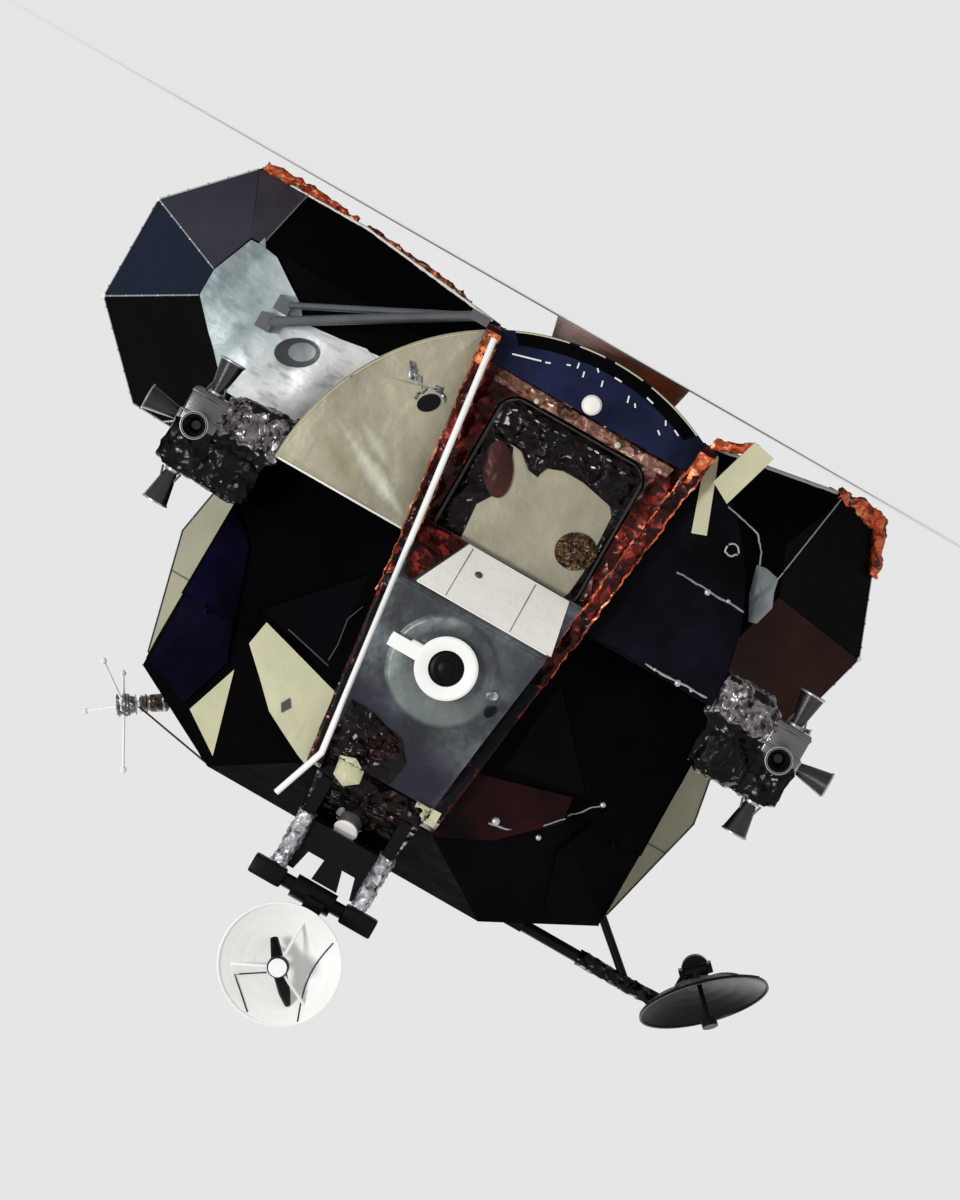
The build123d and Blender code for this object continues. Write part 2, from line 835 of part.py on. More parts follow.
# Two tubes from the port bay's front to the foot of the port beam, each end in a block
tube_foot_gap = 72
tube_foot_block = (30, 30, 25)
tube_foot = (centre_half_width(centre_foot_z) + tube_foot_gap, front_face - tube_foot_block[1] - 2, centre_foot_z)
tube_y = -bay_half_length - 86
tube_table = [
    ((hull_radius + 408, tube_y, 760), 26),
    ((hull_radius + 368, tube_y, 640), 18),
]
tube_block = 40
with BuildPart() as port_strut:
    for start, radius in tube_table:
        rod(start, tube_foot, radius)
        block(
            (start[0] - tube_block, start[1] - tube_block, start[2] - tube_block),
            (start[0] + tube_block, -bay_half_length - bay_shield_thickness, start[2] + tube_block),
        )
    block(
        (centre_half_width(centre_foot_z) + seat, tube_foot[1] - tube_foot_block[1], centre_foot_z - tube_foot_block[2]),
        (tube_foot[0] + tube_foot_block[0], front_face - seat, centre_foot_z + tube_foot_block[2]),
    )
save(port_strut, "diagonal_strut_port")

# Flat cream strut beside the starboard beam, with the box leg that hangs from it
beam_foot_x = -centre_half_width(centre_foot_z)
flat_strut_points = [(-151, 574), (-79, 600), (15, 330), (25, 210), (-9, 210), (-57, 330)]
flat_strut_outline = [(beam_foot_x + x, z) for x, z in flat_strut_points]
box_leg_points = [(-157, 390), (-47, 330), (-127, 60), (-247, 85)]
box_leg_outline = [(beam_foot_x + x, z) for x, z in box_leg_points]
strut_thickness = 26
box_leg_thickness = 78
with BuildPart() as starboard_strut:
    from_front(flat_strut_outline, front_face - seat, front_face - seat - strut_thickness)
    from_front(box_leg_outline, front_face - seat, front_face - seat - box_leg_thickness)
    from_front(sided(-1, beam_band), wall_inside, beam_front, Mode.SUBTRACT, seat)
save(starboard_strut, "diagonal_strut_starboard")

# Ascent engine: hollow nozzle that the stage stands on, and the engine as one plain block
nozzle_outside = nozzle_stations + [(nozzle_throat_radius + nozzle_wall, nozzle_height)]
nozzle_inside = [(radius - nozzle_wall, z) for radius, z in reversed(nozzle_outside)]
with BuildPart() as nozzle:
    turned((0, 0, 0), (0, 0, 1), nozzle_outside + nozzle_inside)
save(nozzle, "ascent_engine_nozzle")

with BuildPart() as engine:
    rod((0, 0, nozzle_height), (0, 0, nozzle_height + engine_height), engine_radius)
    rod((0, 0, nozzle_height), (0, 0, nozzle_height + engine_flange_height), engine_flange_radius)
save(engine, "ascent_engine")


def aft_bay_form(inset):
    """The aft bay's outer form, or the hollow inside it when the inset is its wall."""
    outline = [
        (aft_half_width - aft_foot_chamfer[0], aft_foot_z),
        (aft_half_width, aft_foot_z + aft_foot_chamfer[1]),
        (aft_half_width, aft_shoulder[1]),
        (aft_shoulder[0], aft_top_z),
    ]
    facets = []
    for edge_z, (slope_length, slope_height) in ((aft_top_z, aft_top_slope), (aft_foot_z, aft_foot_slope)):
        way = -1 if edge_z == aft_top_z else 1
        edge_y = aft_back - slope_length
        facets.append([(-1, edge_y, edge_z), (1, edge_y, edge_z), (0, aft_back, edge_z + way * slope_height)])
    with BuildPart() as form:
        from_front(closed_outline(outline), aft_back - inset, mid_half_length + inset, grow=-inset)
        trim(facets, (0, (mid_half_length + aft_back) / 2, hull_axis_z), inset)
    return form.part


# Aft equipment bay, hollow, and its three rear panels
with BuildPart() as aft_bay:
    add(aft_bay_form(0))
    add(aft_bay_form(aft_wall), mode=Mode.SUBTRACT)
save(aft_bay, "aft_equipment_bay")

with BuildPart() as aft_panels:
    for column_x in aft_panel_columns:
        panel_face = aft_back + aft_panel_thickness
        half = aft_panel_width / 2
        inner = half - aft_panel_rim
        block(
            (column_x - half, aft_back, aft_panel_foot_z),
            (column_x + half, panel_face, aft_panel_top_z),
        )
        block(
            (column_x - inner, panel_face - aft_panel_recess, aft_panel_foot_z + aft_panel_rim),
            (column_x + inner, panel_face, aft_panel_top_z - aft_panel_rim),
            Mode.SUBTRACT,
        )
save(aft_panels, "aft_panels")

# Thruster quads: table of corner name, sign of x, sign of y, where the boom meets the hull
quad_table = [
    ("port_front", 1, -1, hull_radius - 60),
    ("starboard_front", -1, -1, hull_radius - 60),
    ("port_aft", 1, 1, aft_half_width),
    ("starboard_aft", -1, 1, aft_half_width),
]
bell_length = bell_stations[-1][0]
bell_outside = [(radius, distance) for distance, radius in bell_stations]
bell_inside = [(radius - bell_wall, distance) for distance, radius in reversed(bell_stations[1:])]
bell_profile = [(0, 0)] + bell_outside + bell_inside + [(bell_stations[0][1] - bell_wall, bell_floor), (0, bell_floor)]
for corner, sx, sy, root_x in quad_table:
    root_outline = [
        (root_x, boom_foot_z),
        (boom_neck_x, boom_foot_z + boom_neck_rise),
        (quad_offset - cluster_half_x, boom_foot_z + boom_end_rise),
        (quad_offset - cluster_half_x, boom_ledge_z),
        (quad_offset + cluster_half_x, boom_ledge_z),
        (quad_offset + cluster_half_x, boom_top_z - fairing_chamfer),
        (quad_offset + cluster_half_x - fairing_chamfer, boom_top_z),
        (root_x + fairing_root[0], boom_top_z),
        (root_x, boom_ledge_z + fairing_root[1]),
    ]
    low_y, high_y = sorted((sy * boom_inner_y, sy * boom_outer_y))
    cluster_x = sx * quad_offset
    cluster_y = sy * quad_offset
    with BuildPart() as quad_boom:
        from_front(sided(sx, root_outline), high_y, low_y)
        block(
            (cluster_x - cluster_half_x, cluster_y - cluster_half_y, quad_z - cluster_half_z),
            (cluster_x + cluster_half_x, cluster_y + cluster_half_y, quad_z + cluster_half_z),
        )
        if sy < 0:
            drum(0, hull_axis_z, hull_radius, cabin_back, lip_front, Mode.SUBTRACT)
            block((-hull_radius, lip_front, hull_axis_z), (hull_radius, upper_front, brow_z), Mode.SUBTRACT)
            from_front(sided(sx, window_bay_outline), upper_front, lip_front, Mode.SUBTRACT)
    save(quad_boom, f"thruster_boom_{corner}")
    side_bell_z = quad_z - side_bell_drop
    bell_places = [
        ((cluster_x, cluster_y, boom_top_z), (0, 0, 1)),
        ((cluster_x, cluster_y, quad_z - cluster_half_z), (0, 0, -1)),
        ((sx * (quad_offset + cluster_half_x), cluster_y, side_bell_z), (sx, 0, 0)),
        ((cluster_x, sy * (quad_offset + cluster_half_y), side_bell_z), (0, sy, 0)),
    ]
    with BuildPart() as bells:
        for base, way in bell_places:
            turned(base, way, bell_profile)
    save(bells, f"thrusters_{corner}")

# Rendezvous radar: fixed arms and web, yoke on the level shaft, dish on the upright trunnion
arm_profile = [
    (-1480, 2640),
    (-1760, 2500),
    (-1760, 2700),
    (radar_axis_y - 55, radar_axis_z - 60),
    (radar_axis_y - 55, radar_axis_z + 45),
    (radar_axis_y + 55, radar_axis_z + 45),
    (radar_axis_y + 90, radar_axis_z - 60),
    (-1440, 2830),
]
arm_inner = radar_arm_x - radar_arm_width / 2
arm_outer = radar_arm_x + radar_arm_width / 2
web_top_z = radar_axis_z - radar_drum_radius - 5
web_outline = [
    (-arm_inner, radar_web_foot_z),
    (-arm_inner, web_top_z),
    (-165, web_top_z),
    (-135, radar_web_open_z),
    (-62, radar_web_open_z),
    (-92, web_top_z),
    (48, web_top_z),
    (38, radar_web_open_z),
    (126, radar_web_open_z),
    (152, web_top_z),
    (arm_inner, web_top_z),
    (arm_inner, radar_web_foot_z),
]
with BuildPart() as radar_mount:
    for side, sign in sides:
        near, far = sorted((sign * arm_inner, sign * arm_outer))
        from_side(arm_profile, near, far)
        block(
            (sign * arm_inner, radar_axis_y - 60, radar_axis_z - radar_end_box_half),
            (sign * radar_end_box_x, radar_axis_y + 60, radar_axis_z + radar_end_box_half),
        )
    from_front(web_outline, radar_web_back, radar_web_front)
    block((-arm_inner, *radar_foot_block[0]), (arm_inner, *radar_foot_block[1]))
    rod(
        (-arm_outer - 30, radar_axis_y, radar_axis_z),
        (arm_outer + 30, radar_axis_y, radar_axis_z),
        radar_shaft_radius + pin_play,
        Mode.SUBTRACT,
    )
    add(forehead.part, mode=Mode.SUBTRACT)
    add(cabin_upper_shell.part, mode=Mode.SUBTRACT)
save(radar_mount, "radar_mount")

with BuildPart() as radar_yoke:
    rod(
        (-arm_outer - 20, radar_axis_y, radar_axis_z),
        (arm_outer + 20, radar_axis_y, radar_axis_z),
        radar_shaft_radius,
    )
    rod(
        (-radar_drum_half, radar_axis_y, radar_axis_z),
        (radar_drum_half, radar_axis_y, radar_axis_z),
        radar_drum_radius,
    )
    block(
        (trunnion_x - yoke_post_half, trunnion_y - yoke_post_half, radar_axis_z),
        (trunnion_x + yoke_post_half, radar_axis_y, yoke_top),
    )
    rod(
        (trunnion_x, trunnion_y, yoke_top),
        (trunnion_x, trunnion_y, radar_dish_z + trunnion_rise),
        trunnion_pin_radius,
    )
save(radar_yoke, "radar_yoke")

radar_vertex_y = radar_rim_y + radar_dish_depth
feed_tip_y = radar_rim_y - radar_feed_reach
feed_base_y = feed_tip_y + radar_feed_length
with BuildPart() as radar_dish:
    turned(
        (trunnion_x, radar_vertex_y, radar_dish_z),
        (0, -1, 0),
        dish_profile(radar_dish_radius, radar_dish_depth, radar_dish_wall),
    )
    block(
        (trunnion_x - radar_box_half_width, radar_vertex_y + radar_dish_wall - 4, yoke_top + radar_box_gap),
        (trunnion_x + radar_box_half_width, trunnion_y + radar_box_half_width, radar_dish_z + radar_box_top),
    )
    rod(
        (trunnion_x, trunnion_y, yoke_top),
        (trunnion_x, trunnion_y, radar_dish_z + trunnion_rise + 5),
        trunnion_pin_radius + pin_play,
        Mode.SUBTRACT,
    )
    rod(
        (trunnion_x, radar_vertex_y + radar_dish_wall / 2, radar_dish_z),
        (trunnion_x, feed_tip_y + radar_feed_length / 2, radar_dish_z),
        radar_feed_rod_radius,
    )
    rod((trunnion_x, feed_base_y, radar_dish_z), (trunnion_x, feed_tip_y, radar_dish_z), radar_feed_radius)
    for angle in radar_leg_angles:
        leg_x = trunnion_x + radar_leg_radius * sin(radians(angle))
        leg_z = radar_dish_z + radar_leg_radius * cos(radians(angle))
        bowl_y = radar_vertex_y - radar_dish_depth * (radar_leg_radius / radar_dish_radius) ** 2
        rod(
            (leg_x, bowl_y + radar_dish_wall / 2, leg_z),
            (trunnion_x, feed_tip_y + radar_feed_length / 2, radar_dish_z),
            radar_leg_rod_radius,
        )
save(radar_dish, "radar_dish")

# Steerable antenna: boom from the cabin side, rolling fork, tilting dish
drum_back_y = steer_pivot.Y + steer_drum_far + seat
boom_path = [
    (steer_boom_root_x, steer_boom_y, steer_boom_z),
    (steer_pivot.X, steer_boom_y, steer_boom_z),
    (steer_pivot.X, steer_boom_y, steer_pivot.Z),
    (steer_pivot.X, drum_back_y, steer_pivot.Z),
]
with BuildPart() as steer_boom:
    for start, end in zip(boom_path, boom_path[1:]):
        rod(start, end, steer_boom_radius)
    for corner_point in boom_path[1:3]:
        ball(corner_point, steer_elbow_radius)
    rod(
        (steer_brace_foot[0], steer_boom_y, steer_brace_foot[1]),
        (steer_brace_top_x, steer_boom_y, steer_boom_z),
        steer_brace_radius,
    )
    block(
        (steer_root_block[0][0], steer_boom_y - steer_root_block_half, steer_root_block[0][1]),
        (steer_root_block[1][0], steer_boom_y + steer_root_block_half, steer_root_block[1][1]),
    )
    rod(
        (steer_pivot.X, drum_back_y + steer_post_length, steer_pivot.Z),
        (steer_pivot.X, drum_back_y, steer_pivot.Z),
        steer_drum_radius - 10,
    )
    rod(
        (steer_pivot.X, drum_back_y + steer_post_length, steer_pivot.Z),
        (steer_pivot.X, drum_back_y, steer_pivot.Z),
        steer_pin_radius + pin_play,
        Mode.SUBTRACT,
    )
    add(cabin_upper_shell.part, mode=Mode.SUBTRACT)
save(steer_boom, "steerable_antenna_boom")

# Direction in which the dish leans from the roll axis, and the tilt pin across it
lean = Vector(-cos(radians(45)), 0, sin(radians(45)))
pin_way = Vector(0, 1, 0).cross(lean)
face_way = Vector(0, -1, 0) * cos(radians(steer_tilt)) + lean * sin(radians(steer_tilt))
fork_half = fork_gap + fork_arm
with BuildPart() as steer_fork:
    rod(
        (steer_pivot.X, steer_pivot.Y + steer_drum_far, steer_pivot.Z),
        (steer_pivot.X, steer_pivot.Y + steer_drum_near, steer_pivot.Z),
        steer_drum_radius,
    )
    rod(
        (steer_pivot.X, steer_pivot.Y + steer_drum_far, steer_pivot.Z),
        (steer_pivot.X, steer_pivot.Y + steer_drum_far + steer_post_length - 5, steer_pivot.Z),
        steer_pin_radius,
    )
    fork_plane = Plane(origin=steer_pivot, x_dir=pin_way, z_dir=(0, 1, 0))
    with BuildSketch(fork_plane.offset(-fork_depth / 2)):
        with Locations((fork_gap + fork_arm / 2, 0), (-fork_gap - fork_arm / 2, 0)):
            Rectangle(fork_arm, fork_depth)
    extrude(amount=fork_depth / 2 + steer_drum_near + 5)
    with BuildSketch(fork_plane.offset(steer_drum_near - 10)):
        Rectangle(2 * fork_half, fork_depth)
    extrude(amount=20)
    rod(steer_pivot - pin_way * fork_half, steer_pivot + pin_way * fork_half, steer_pin_radius)
save(steer_fork, "steerable_antenna_fork")

hub_half = fork_gap - steer_hub_play
dish_vertex = steer_pivot + face_way * steer_vertex_offset
feed_tip = steer_pivot + face_way * (steer_rim_offset + steer_feed_reach)
with BuildPart() as steer_dish:
    turned(
        dish_vertex,
        face_way,
        dish_profile(steer_dish_radius, steer_rim_offset - steer_vertex_offset, steer_wall),
    )
    rod(steer_pivot - pin_way * hub_half, steer_pivot + pin_way * hub_half, 2 * steer_pin_radius)
    rod(steer_pivot, dish_vertex - face_way * (steer_wall / 2), steer_neck_radius)
    rod(
        steer_pivot - pin_way * hub_half,
        steer_pivot + pin_way * hub_half,
        steer_pin_radius + pin_play,
        Mode.SUBTRACT,
    )
    rod(dish_vertex - face_way * (steer_wall / 3), feed_tip, steer_feed_rod_radius)
    rod(feed_tip - face_way * steer_feed_length, feed_tip, steer_feed_radius)
save(steer_dish, "steerable_antenna_dish")

# Rod antennas: a mast with four ball-tipped rods, one at the port top and one at the aft top
for place, mast_foot, hub in rod_antenna_table:
    with BuildPart() as rod_antenna:
        rod(mast_foot, hub, antenna_mast_radius)
        with Locations(hub):
            Box(*antenna_hub)
        for dx, dy, dz in ball_offsets:
            tip = (hub[0] + dx, hub[1] + dy, hub[2] + dz)
            rod(hub, tip, antenna_rod_radius)
            ball(tip, antenna_ball_radius)
        add(cabin_upper_shell.part, mode=Mode.SUBTRACT)
        add(aft_bay.part, mode=Mode.SUBTRACT)
        add(midsection.part, mode=Mode.SUBTRACT)
    save(rod_antenna, f"rod_antenna_{place}")
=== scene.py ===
"""Skins, foil, seams, fittings, floor, lamps and camera for the ascent stage of a lunar lander."""

from math import cos, pi, radians, sin, sqrt

import bpy
import numpy as np
from mathutils import Matrix, Vector


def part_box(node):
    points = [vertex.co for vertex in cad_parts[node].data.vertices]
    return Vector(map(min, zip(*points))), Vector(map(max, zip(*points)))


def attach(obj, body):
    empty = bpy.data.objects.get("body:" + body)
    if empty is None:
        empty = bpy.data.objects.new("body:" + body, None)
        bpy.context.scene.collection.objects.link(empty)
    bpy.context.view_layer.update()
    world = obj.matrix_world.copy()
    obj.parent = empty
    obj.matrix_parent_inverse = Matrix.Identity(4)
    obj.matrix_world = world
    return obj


bl_info = {
    "name": "Lunar lander ascent stage",
    "version": (1, 0, 0),
    "blender": (4, 5, 0),
    "location": "3D View > Sidebar > Lander",
    "description": "Dresses the construction of a lunar lander's ascent stage",
    "category": "Object",
}

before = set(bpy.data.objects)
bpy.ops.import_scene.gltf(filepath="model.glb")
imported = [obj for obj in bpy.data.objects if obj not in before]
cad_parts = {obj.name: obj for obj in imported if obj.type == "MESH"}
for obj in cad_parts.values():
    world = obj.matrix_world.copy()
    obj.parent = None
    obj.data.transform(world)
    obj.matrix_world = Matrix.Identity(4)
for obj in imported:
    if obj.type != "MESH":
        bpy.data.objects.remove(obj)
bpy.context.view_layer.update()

# Views that flat outlines are drawn in: two axes of the drawing, and the axis that points at the viewer
x_axis, y_axis, z_axis = np.eye(3)
views = {
    "front": (x_axis, z_axis, -y_axis),
    "port": (y_axis, z_axis, x_axis),
    "starboard": (y_axis, z_axis, -x_axis),
    "top": (x_axis, y_axis, z_axis),
}


# Settings that a user would change

class LanderLook(bpy.types.PropertyGroup):
    """Colours and sizes of the lander's dress."""

    cream: bpy.props.FloatVectorProperty(
        name="Cream skin", description="Thin cream sheet of the port front", subtype="COLOR",
        default=(0.33, 0.305, 0.215))
    pale_cream: bpy.props.FloatVectorProperty(
        name="Pale cream", description="Brow and side facets", subtype="COLOR", default=(0.56, 0.55, 0.36))
    black: bpy.props.FloatVectorProperty(
        name="Black shield", description="Thin black sheet of the cabin", subtype="COLOR",
        default=(0.0016, 0.0016, 0.0020))
    slate: bpy.props.FloatVectorProperty(
        name="Slate shield", description="Dark sheet of the tank bays", subtype="COLOR",
        default=(0.052, 0.048, 0.060))
    navy: bpy.props.FloatVectorProperty(
        name="Navy sheet", description="Lip below the hatch", subtype="COLOR",
        default=(0.007, 0.010, 0.031))
    nose_grey: bpy.props.FloatVectorProperty(
        name="Nose sheet", description="Bare grey sheet between the beams", subtype="COLOR",
        default=(0.115, 0.135, 0.15))
    copper: bpy.props.FloatVectorProperty(
        name="Copper foil", description="Bright side of the copper foil", subtype="COLOR",
        default=(0.55, 0.15, 0.05))
    dark_red: bpy.props.FloatVectorProperty(
        name="Dark red foil", description="Shaded side of the copper foil", subtype="COLOR",
        default=(0.12, 0.010, 0.008))
    silver: bpy.props.FloatVectorProperty(
        name="Silver foil", description="Crinkled silver foil", subtype="COLOR", default=(0.66, 0.68, 0.70))
    crinkle: bpy.props.FloatProperty(
        name="Crinkle height", description="How far crumpled foil stands out", default=0.014,
        unit="LENGTH", min=0.0, max=0.05)
    bead_radius: bpy.props.FloatProperty(
        name="Seam bead", description="Radius of the beads along the shields' edges", default=0.0042,
        unit="LENGTH", min=0.001, max=0.02)
    rivet_radius: bpy.props.FloatProperty(
        name="Rivet radius", description="Radius of the rivets along seams", default=0.0065,
        unit="LENGTH", min=0.001, max=0.02)
    rivet_pitch: bpy.props.FloatProperty(
        name="Rivet pitch", description="Distance from rivet to rivet", default=0.11,
        unit="LENGTH", min=0.02, max=0.5)
    camera_distance: bpy.props.FloatProperty(
        name="Camera distance", description="From the craft's axis to the camera", default=29.1,
        unit="LENGTH", min=5.0, max=100.0)
    camera_height: bpy.props.FloatProperty(
        name="Camera height", description="Height of the camera above the floor", default=0.05,
        unit="LENGTH", min=0.0, max=30.0)
    camera_roll: bpy.props.FloatProperty(
        name="Camera roll", description="Turn of the camera about its line of sight", default=radians(150.2),
        unit="ROTATION")
    lens: bpy.props.FloatProperty(
        name="Lens", description="Focal length in millimetres on a 36 mm frame", default=168.0, min=20.0,
        max=600.0)


def look():
    """The settings of the scene that is being dressed."""
    return bpy.context.scene.lander_look


# Shader nodes

class Value:
    """A shader socket. Sums, products and comparisons with it add Math nodes to its material."""

    def __init__(self, finish, socket):
        self.finish = finish
        self.socket = socket

    def math(self, operation, *operands):
        """One Math node on sockets and numbers."""
        return self.finish.node("ShaderNodeMath", {"operation": operation}, dict(enumerate(operands)))

    def __add__(self, other):
        return self.math("ADD", self, other)

    __radd__ = __add__

    def __sub__(self, other):
        return self.math("SUBTRACT", self, other)

    def __rsub__(self, other):
        return self.math("SUBTRACT", other, self)

    def __mul__(self, other):
        return self.math("MULTIPLY", self, other)

    __rmul__ = __mul__

    def __truediv__(self, other):
        return self.math("DIVIDE", self, other)

    def __gt__(self, other):
        return self.math("GREATER_THAN", self, other)

    def __lt__(self, other):
        return self.math("LESS_THAN", self, other)

    def absolute(self):
        return self.math("ABSOLUTE", self)

    def root(self):
        return self.math("SQRT", self)

    def smooth(self, low, high):
        """0 below low, 1 above high, with a smooth step between."""
        settings = {"interpolation_type": "SMOOTHSTEP"}
        return self.finish.node("ShaderNodeMapRange", settings, {0: self, 1: low, 2: high, 3: 0.0, 4: 1.0})


class Finish:
    """One material's nodes, built on the piece's own Object coordinates."""

    def __init__(self, name):
        self.material = bpy.data.materials.new(name)
        self.material.use_nodes = True
        self.tree = self.material.node_tree
        self.tree.nodes.clear()
        self.shader = self.tree.nodes.new("ShaderNodeBsdfPrincipled")
        output = self.tree.nodes.new("ShaderNodeOutputMaterial")
        self.tree.links.new(self.shader.outputs[0], output.inputs[0])
        self.place = self.node("ShaderNodeTexCoord", output="Object")

    def fill(self, socket, value):
        """Link a socket, or set its number or colour."""
        if isinstance(value, Value):
            self.tree.links.new(value.socket, socket)
        elif hasattr(socket.default_value, "__len__") and len(socket.default_value) == 4:
            socket.default_value = (*value[:3], 1.0)
        else:
            socket.default_value = value

    def node(self, kind, settings=None, inputs=None, output=0):
        """Add a node: its settings first, then its sockets' values or links. Returns one output."""
        made = self.tree.nodes.new(kind)
        for key, value in (settings or {}).items():
            if key == "stops":
                for stop, (position, colour) in zip(self.stops(made, len(value)), value):
                    stop.position = position
                    stop.color = (*colour, 1.0)
            else:
                setattr(made, key, value)
        for key, value in (inputs or {}).items():
            self.fill(made.inputs[key], value)
        return Value(self, made.outputs[output])

    def stops(self, ramp, count):
        """The stops of a colour ramp, as many as asked."""
        elements = ramp.color_ramp.elements
        while len(elements) < count:
            elements.new(0.5)
        return elements

    def parts(self, vector):
        """X, Y and Z of a vector."""
        separated = self.node("ShaderNodeSeparateXYZ", None, {0: vector})
        return [Value(self, socket) for socket in separated.socket.node.outputs]

    def axes(self):
        """X, Y and Z of the place."""
        return self.parts(self.place)

    def facing(self):
        """X, Y and Z of the surface's own normal."""
        return self.parts(self.node("ShaderNodeTexCoord", output="Normal"))

    def stretched(self, scale):
        """The place with its axes scaled each by its own number."""
        return self.node("ShaderNodeMapping", None, {"Vector": self.place, "Scale": scale})

    def noise(self, scale, detail=3.0, place=None):
        """Clouds from about 0.3 to 0.7, finer with a larger scale and rougher with more detail."""
        inputs = {"Vector": place or self.place, "Scale": scale, "Detail": detail, "Roughness": 0.55}
        return self.node("ShaderNodeTexNoise", None, inputs)

    def cells(self, scale, place=None):
        """Angular cells: the distance to each cell's middle, and a grey of its own for each cell."""
        distance = self.node("ShaderNodeTexVoronoi", None, {"Vector": place or self.place, "Scale": scale})
        colour = Value(self, distance.socket.node.outputs["Color"])
        return distance, self.node("ShaderNodeRGBToBW", None, {0: colour})

    def ramp(self, value, stops):
        """Colours that a number from 0 to 1 runs through."""
        return self.node("ShaderNodeValToRGB", {"stops": stops}, {0: value})

    def mix(self, factor, first, second):
        """A colour between two, by a factor from 0 to 1."""
        return self.node("ShaderNodeMix", {"data_type": "RGBA"}, {0: factor, 6: first, 7: second}, 2)

    def bump(self, height, distance, strength=0.5):
        """A normal leaned by the slope of a height."""
        inputs = {"Strength": strength, "Distance": distance, "Height": height}
        return self.node("ShaderNodeBump", None, inputs)

    def band(self, start, end, width, wander):
        """1 on a line from (x, z) to (x, z) of the front view, 0 past its half width, which shrinks to its
        ends. Wander shifts the band's rim."""
        x, _, z = self.axes()
        run_x, run_z = end[0] - start[0], end[1] - start[1]
        length = sqrt(run_x * run_x + run_z * run_z)
        share = ((x - start[0]) * run_x + (z - start[1]) * run_z) / length ** 2
        aside = ((x - start[0]) * (run_z / length) - (z - start[1]) * (run_x / length)).absolute()
        return 1.0 - (aside + (share - 0.5).absolute() * (1.6 * width) + wander).smooth(0.0, width)

    def set(self, **values):
        """Fill the shader's sockets; an underscore stands for a space."""
        for key, value in values.items():
            self.fill(self.shader.inputs[key.replace("_", " ")], value)
        return self.material


def shade(colour, factor):
    """A colour made lighter or darker by a factor."""
    return tuple(min(1.0, part * factor) for part in colour)


def sheet_finish(name, colour, roughness=0.5, metallic=0.0, dents=0.004, mottle=0.25, grime=0.25, gloss=0.4,
                 painted_folds=()):
    """Thin painted or bare sheet: cloudy tone, faint streaks, shallow dents. Painted folds are bands of their
    own colour along lines: painted highlights and painted shade of creases, and a dark seam."""
    finish = Finish(name)
    clouds = finish.noise(2.2, 4.0)
    fine = finish.noise(34.0)
    streaks = finish.noise(5.0, 4.0, finish.stretched((6.0, 6.0, 0.7)))
    tone = finish.mix(clouds.smooth(0.3, 0.7), shade(colour, 1 - mottle), shade(colour, 1 + mottle))
    tone = finish.mix(streaks.smooth(0.56, 0.8) * grime, tone, shade(colour, 0.45))
    # Fold bands lay painted highlights and painted shade of creases, and a dark seam, over the tone
    for start, end, width, fold_light_and_shade in painted_folds:
        wander = (clouds * 1.6 + streaks * 0.8 - 1.2) * width
        tone = finish.mix(finish.band(start, end, width, wander) * 0.8, tone, fold_light_and_shade)
    dent = finish.noise(3.1, 2.0) * 0.8 + fine * 0.06 + finish.noise(11.0, 2.0) * 0.2
    return finish.set(
        Base_Color=tone, Metallic=metallic, Specular_IOR_Level=gloss,
        Roughness=clouds * 0.22 + fine * 0.08 + (roughness - 0.15), Normal=finish.bump(dent, dents * 10))


def foil_finish(name, dark, middle, light, metallic=0.5, roughness=0.3, grain=11.0, gloss=0.4, painted_glints=None):
    """Crinkled foil: angular cells in three sizes between sharp creases, each with its own tone from dark to
    light that paints the reflections of the crinkled facets, and a few painted glints on request."""
    finish = Finish(name)
    bent = finish.noise(grain * 0.35, 2.0)
    warped = finish.node("ShaderNodeTexNoise", None, {"Vector": finish.place, "Scale": grain * 0.8}, 1)
    place = finish.mix(0.06, finish.place, warped)
    large_rise, large = finish.cells(grain, place)
    small_rise, small = finish.cells(grain * 2.3, place)
    _, tiny = finish.cells(grain * 5.5, place)
    rise = large_rise * 0.7 + small_rise * 0.35 + bent * 0.5
    tone = large * 0.30 + small * 0.35 + tiny * 0.35 + bent * 0.35 - 0.17
    colour = finish.ramp(tone, [(0.30, dark), (0.50, middle), (0.62, middle), (0.76, light)])
    if painted_glints:
        # Painted glints: a few bright flecks that stand for highlights on the foil
        colour = finish.mix((tiny * 0.6 + bent * 0.4).smooth(0.76, 0.78), colour, painted_glints)
    return finish.set(
        Base_Color=colour, Metallic=metallic, Specular_IOR_Level=gloss,
        Roughness=small * 0.3 + (roughness - 0.12), Normal=finish.bump(rise, 0.06, 0.7))


def metal_finish(name, colour, roughness=0.35, metallic=0.85):
    """Machined or drawn metal: fine brush marks and slight staining."""
    finish = Finish(name)
    brushed = finish.noise(60.0, 3.0, finish.stretched((1.0, 1.0, 6.0)))
    stain = finish.noise(6.0, 4.0)
    tone = finish.mix(stain.smooth(0.4, 0.75) * 0.5, colour, shade(colour, 0.6))
    return finish.set(
        Base_Color=tone, Metallic=metallic, Roughness=brushed * 0.2 + stain * 0.12 + (roughness - 0.15),
        Normal=finish.bump(brushed, 0.0015, 0.4))


def facet_light_finish(name, black, slate):
    """Dark shield whose facets are painted lit and shaded by the way they face: slate where they face port
    and below, as if lit; a bluer dark slate as painted shade on the other port facets; black elsewhere.
    """
    finish = Finish(name)
    facing_x, _, facing_z = finish.facing()
    clouds = finish.noise(1.7, 4.0)
    fine = finish.noise(40.0, 2.0)
    shaded_slate = (slate[0] * 0.22, slate[1] * 0.33, slate[2] * 0.52)
    # Painted light and shade: facets facing down take the lit slate, the rest the shaded slate
    tone = finish.mix((facing_z * -1.0 + clouds * 0.3).smooth(0.15, 0.6), shaded_slate, slate)
    tone = finish.mix(facing_x.smooth(0.2, 0.4) * (1.0 - facing_z.smooth(0.08, 0.16)), black, tone)
    dent = finish.noise(2.6, 2.0) + fine * 0.05
    return finish.set(Base_Color=tone, Specular_IOR_Level=0.02, Roughness=clouds * 0.2 + 0.34,
                      Normal=finish.bump(dent, 0.03))


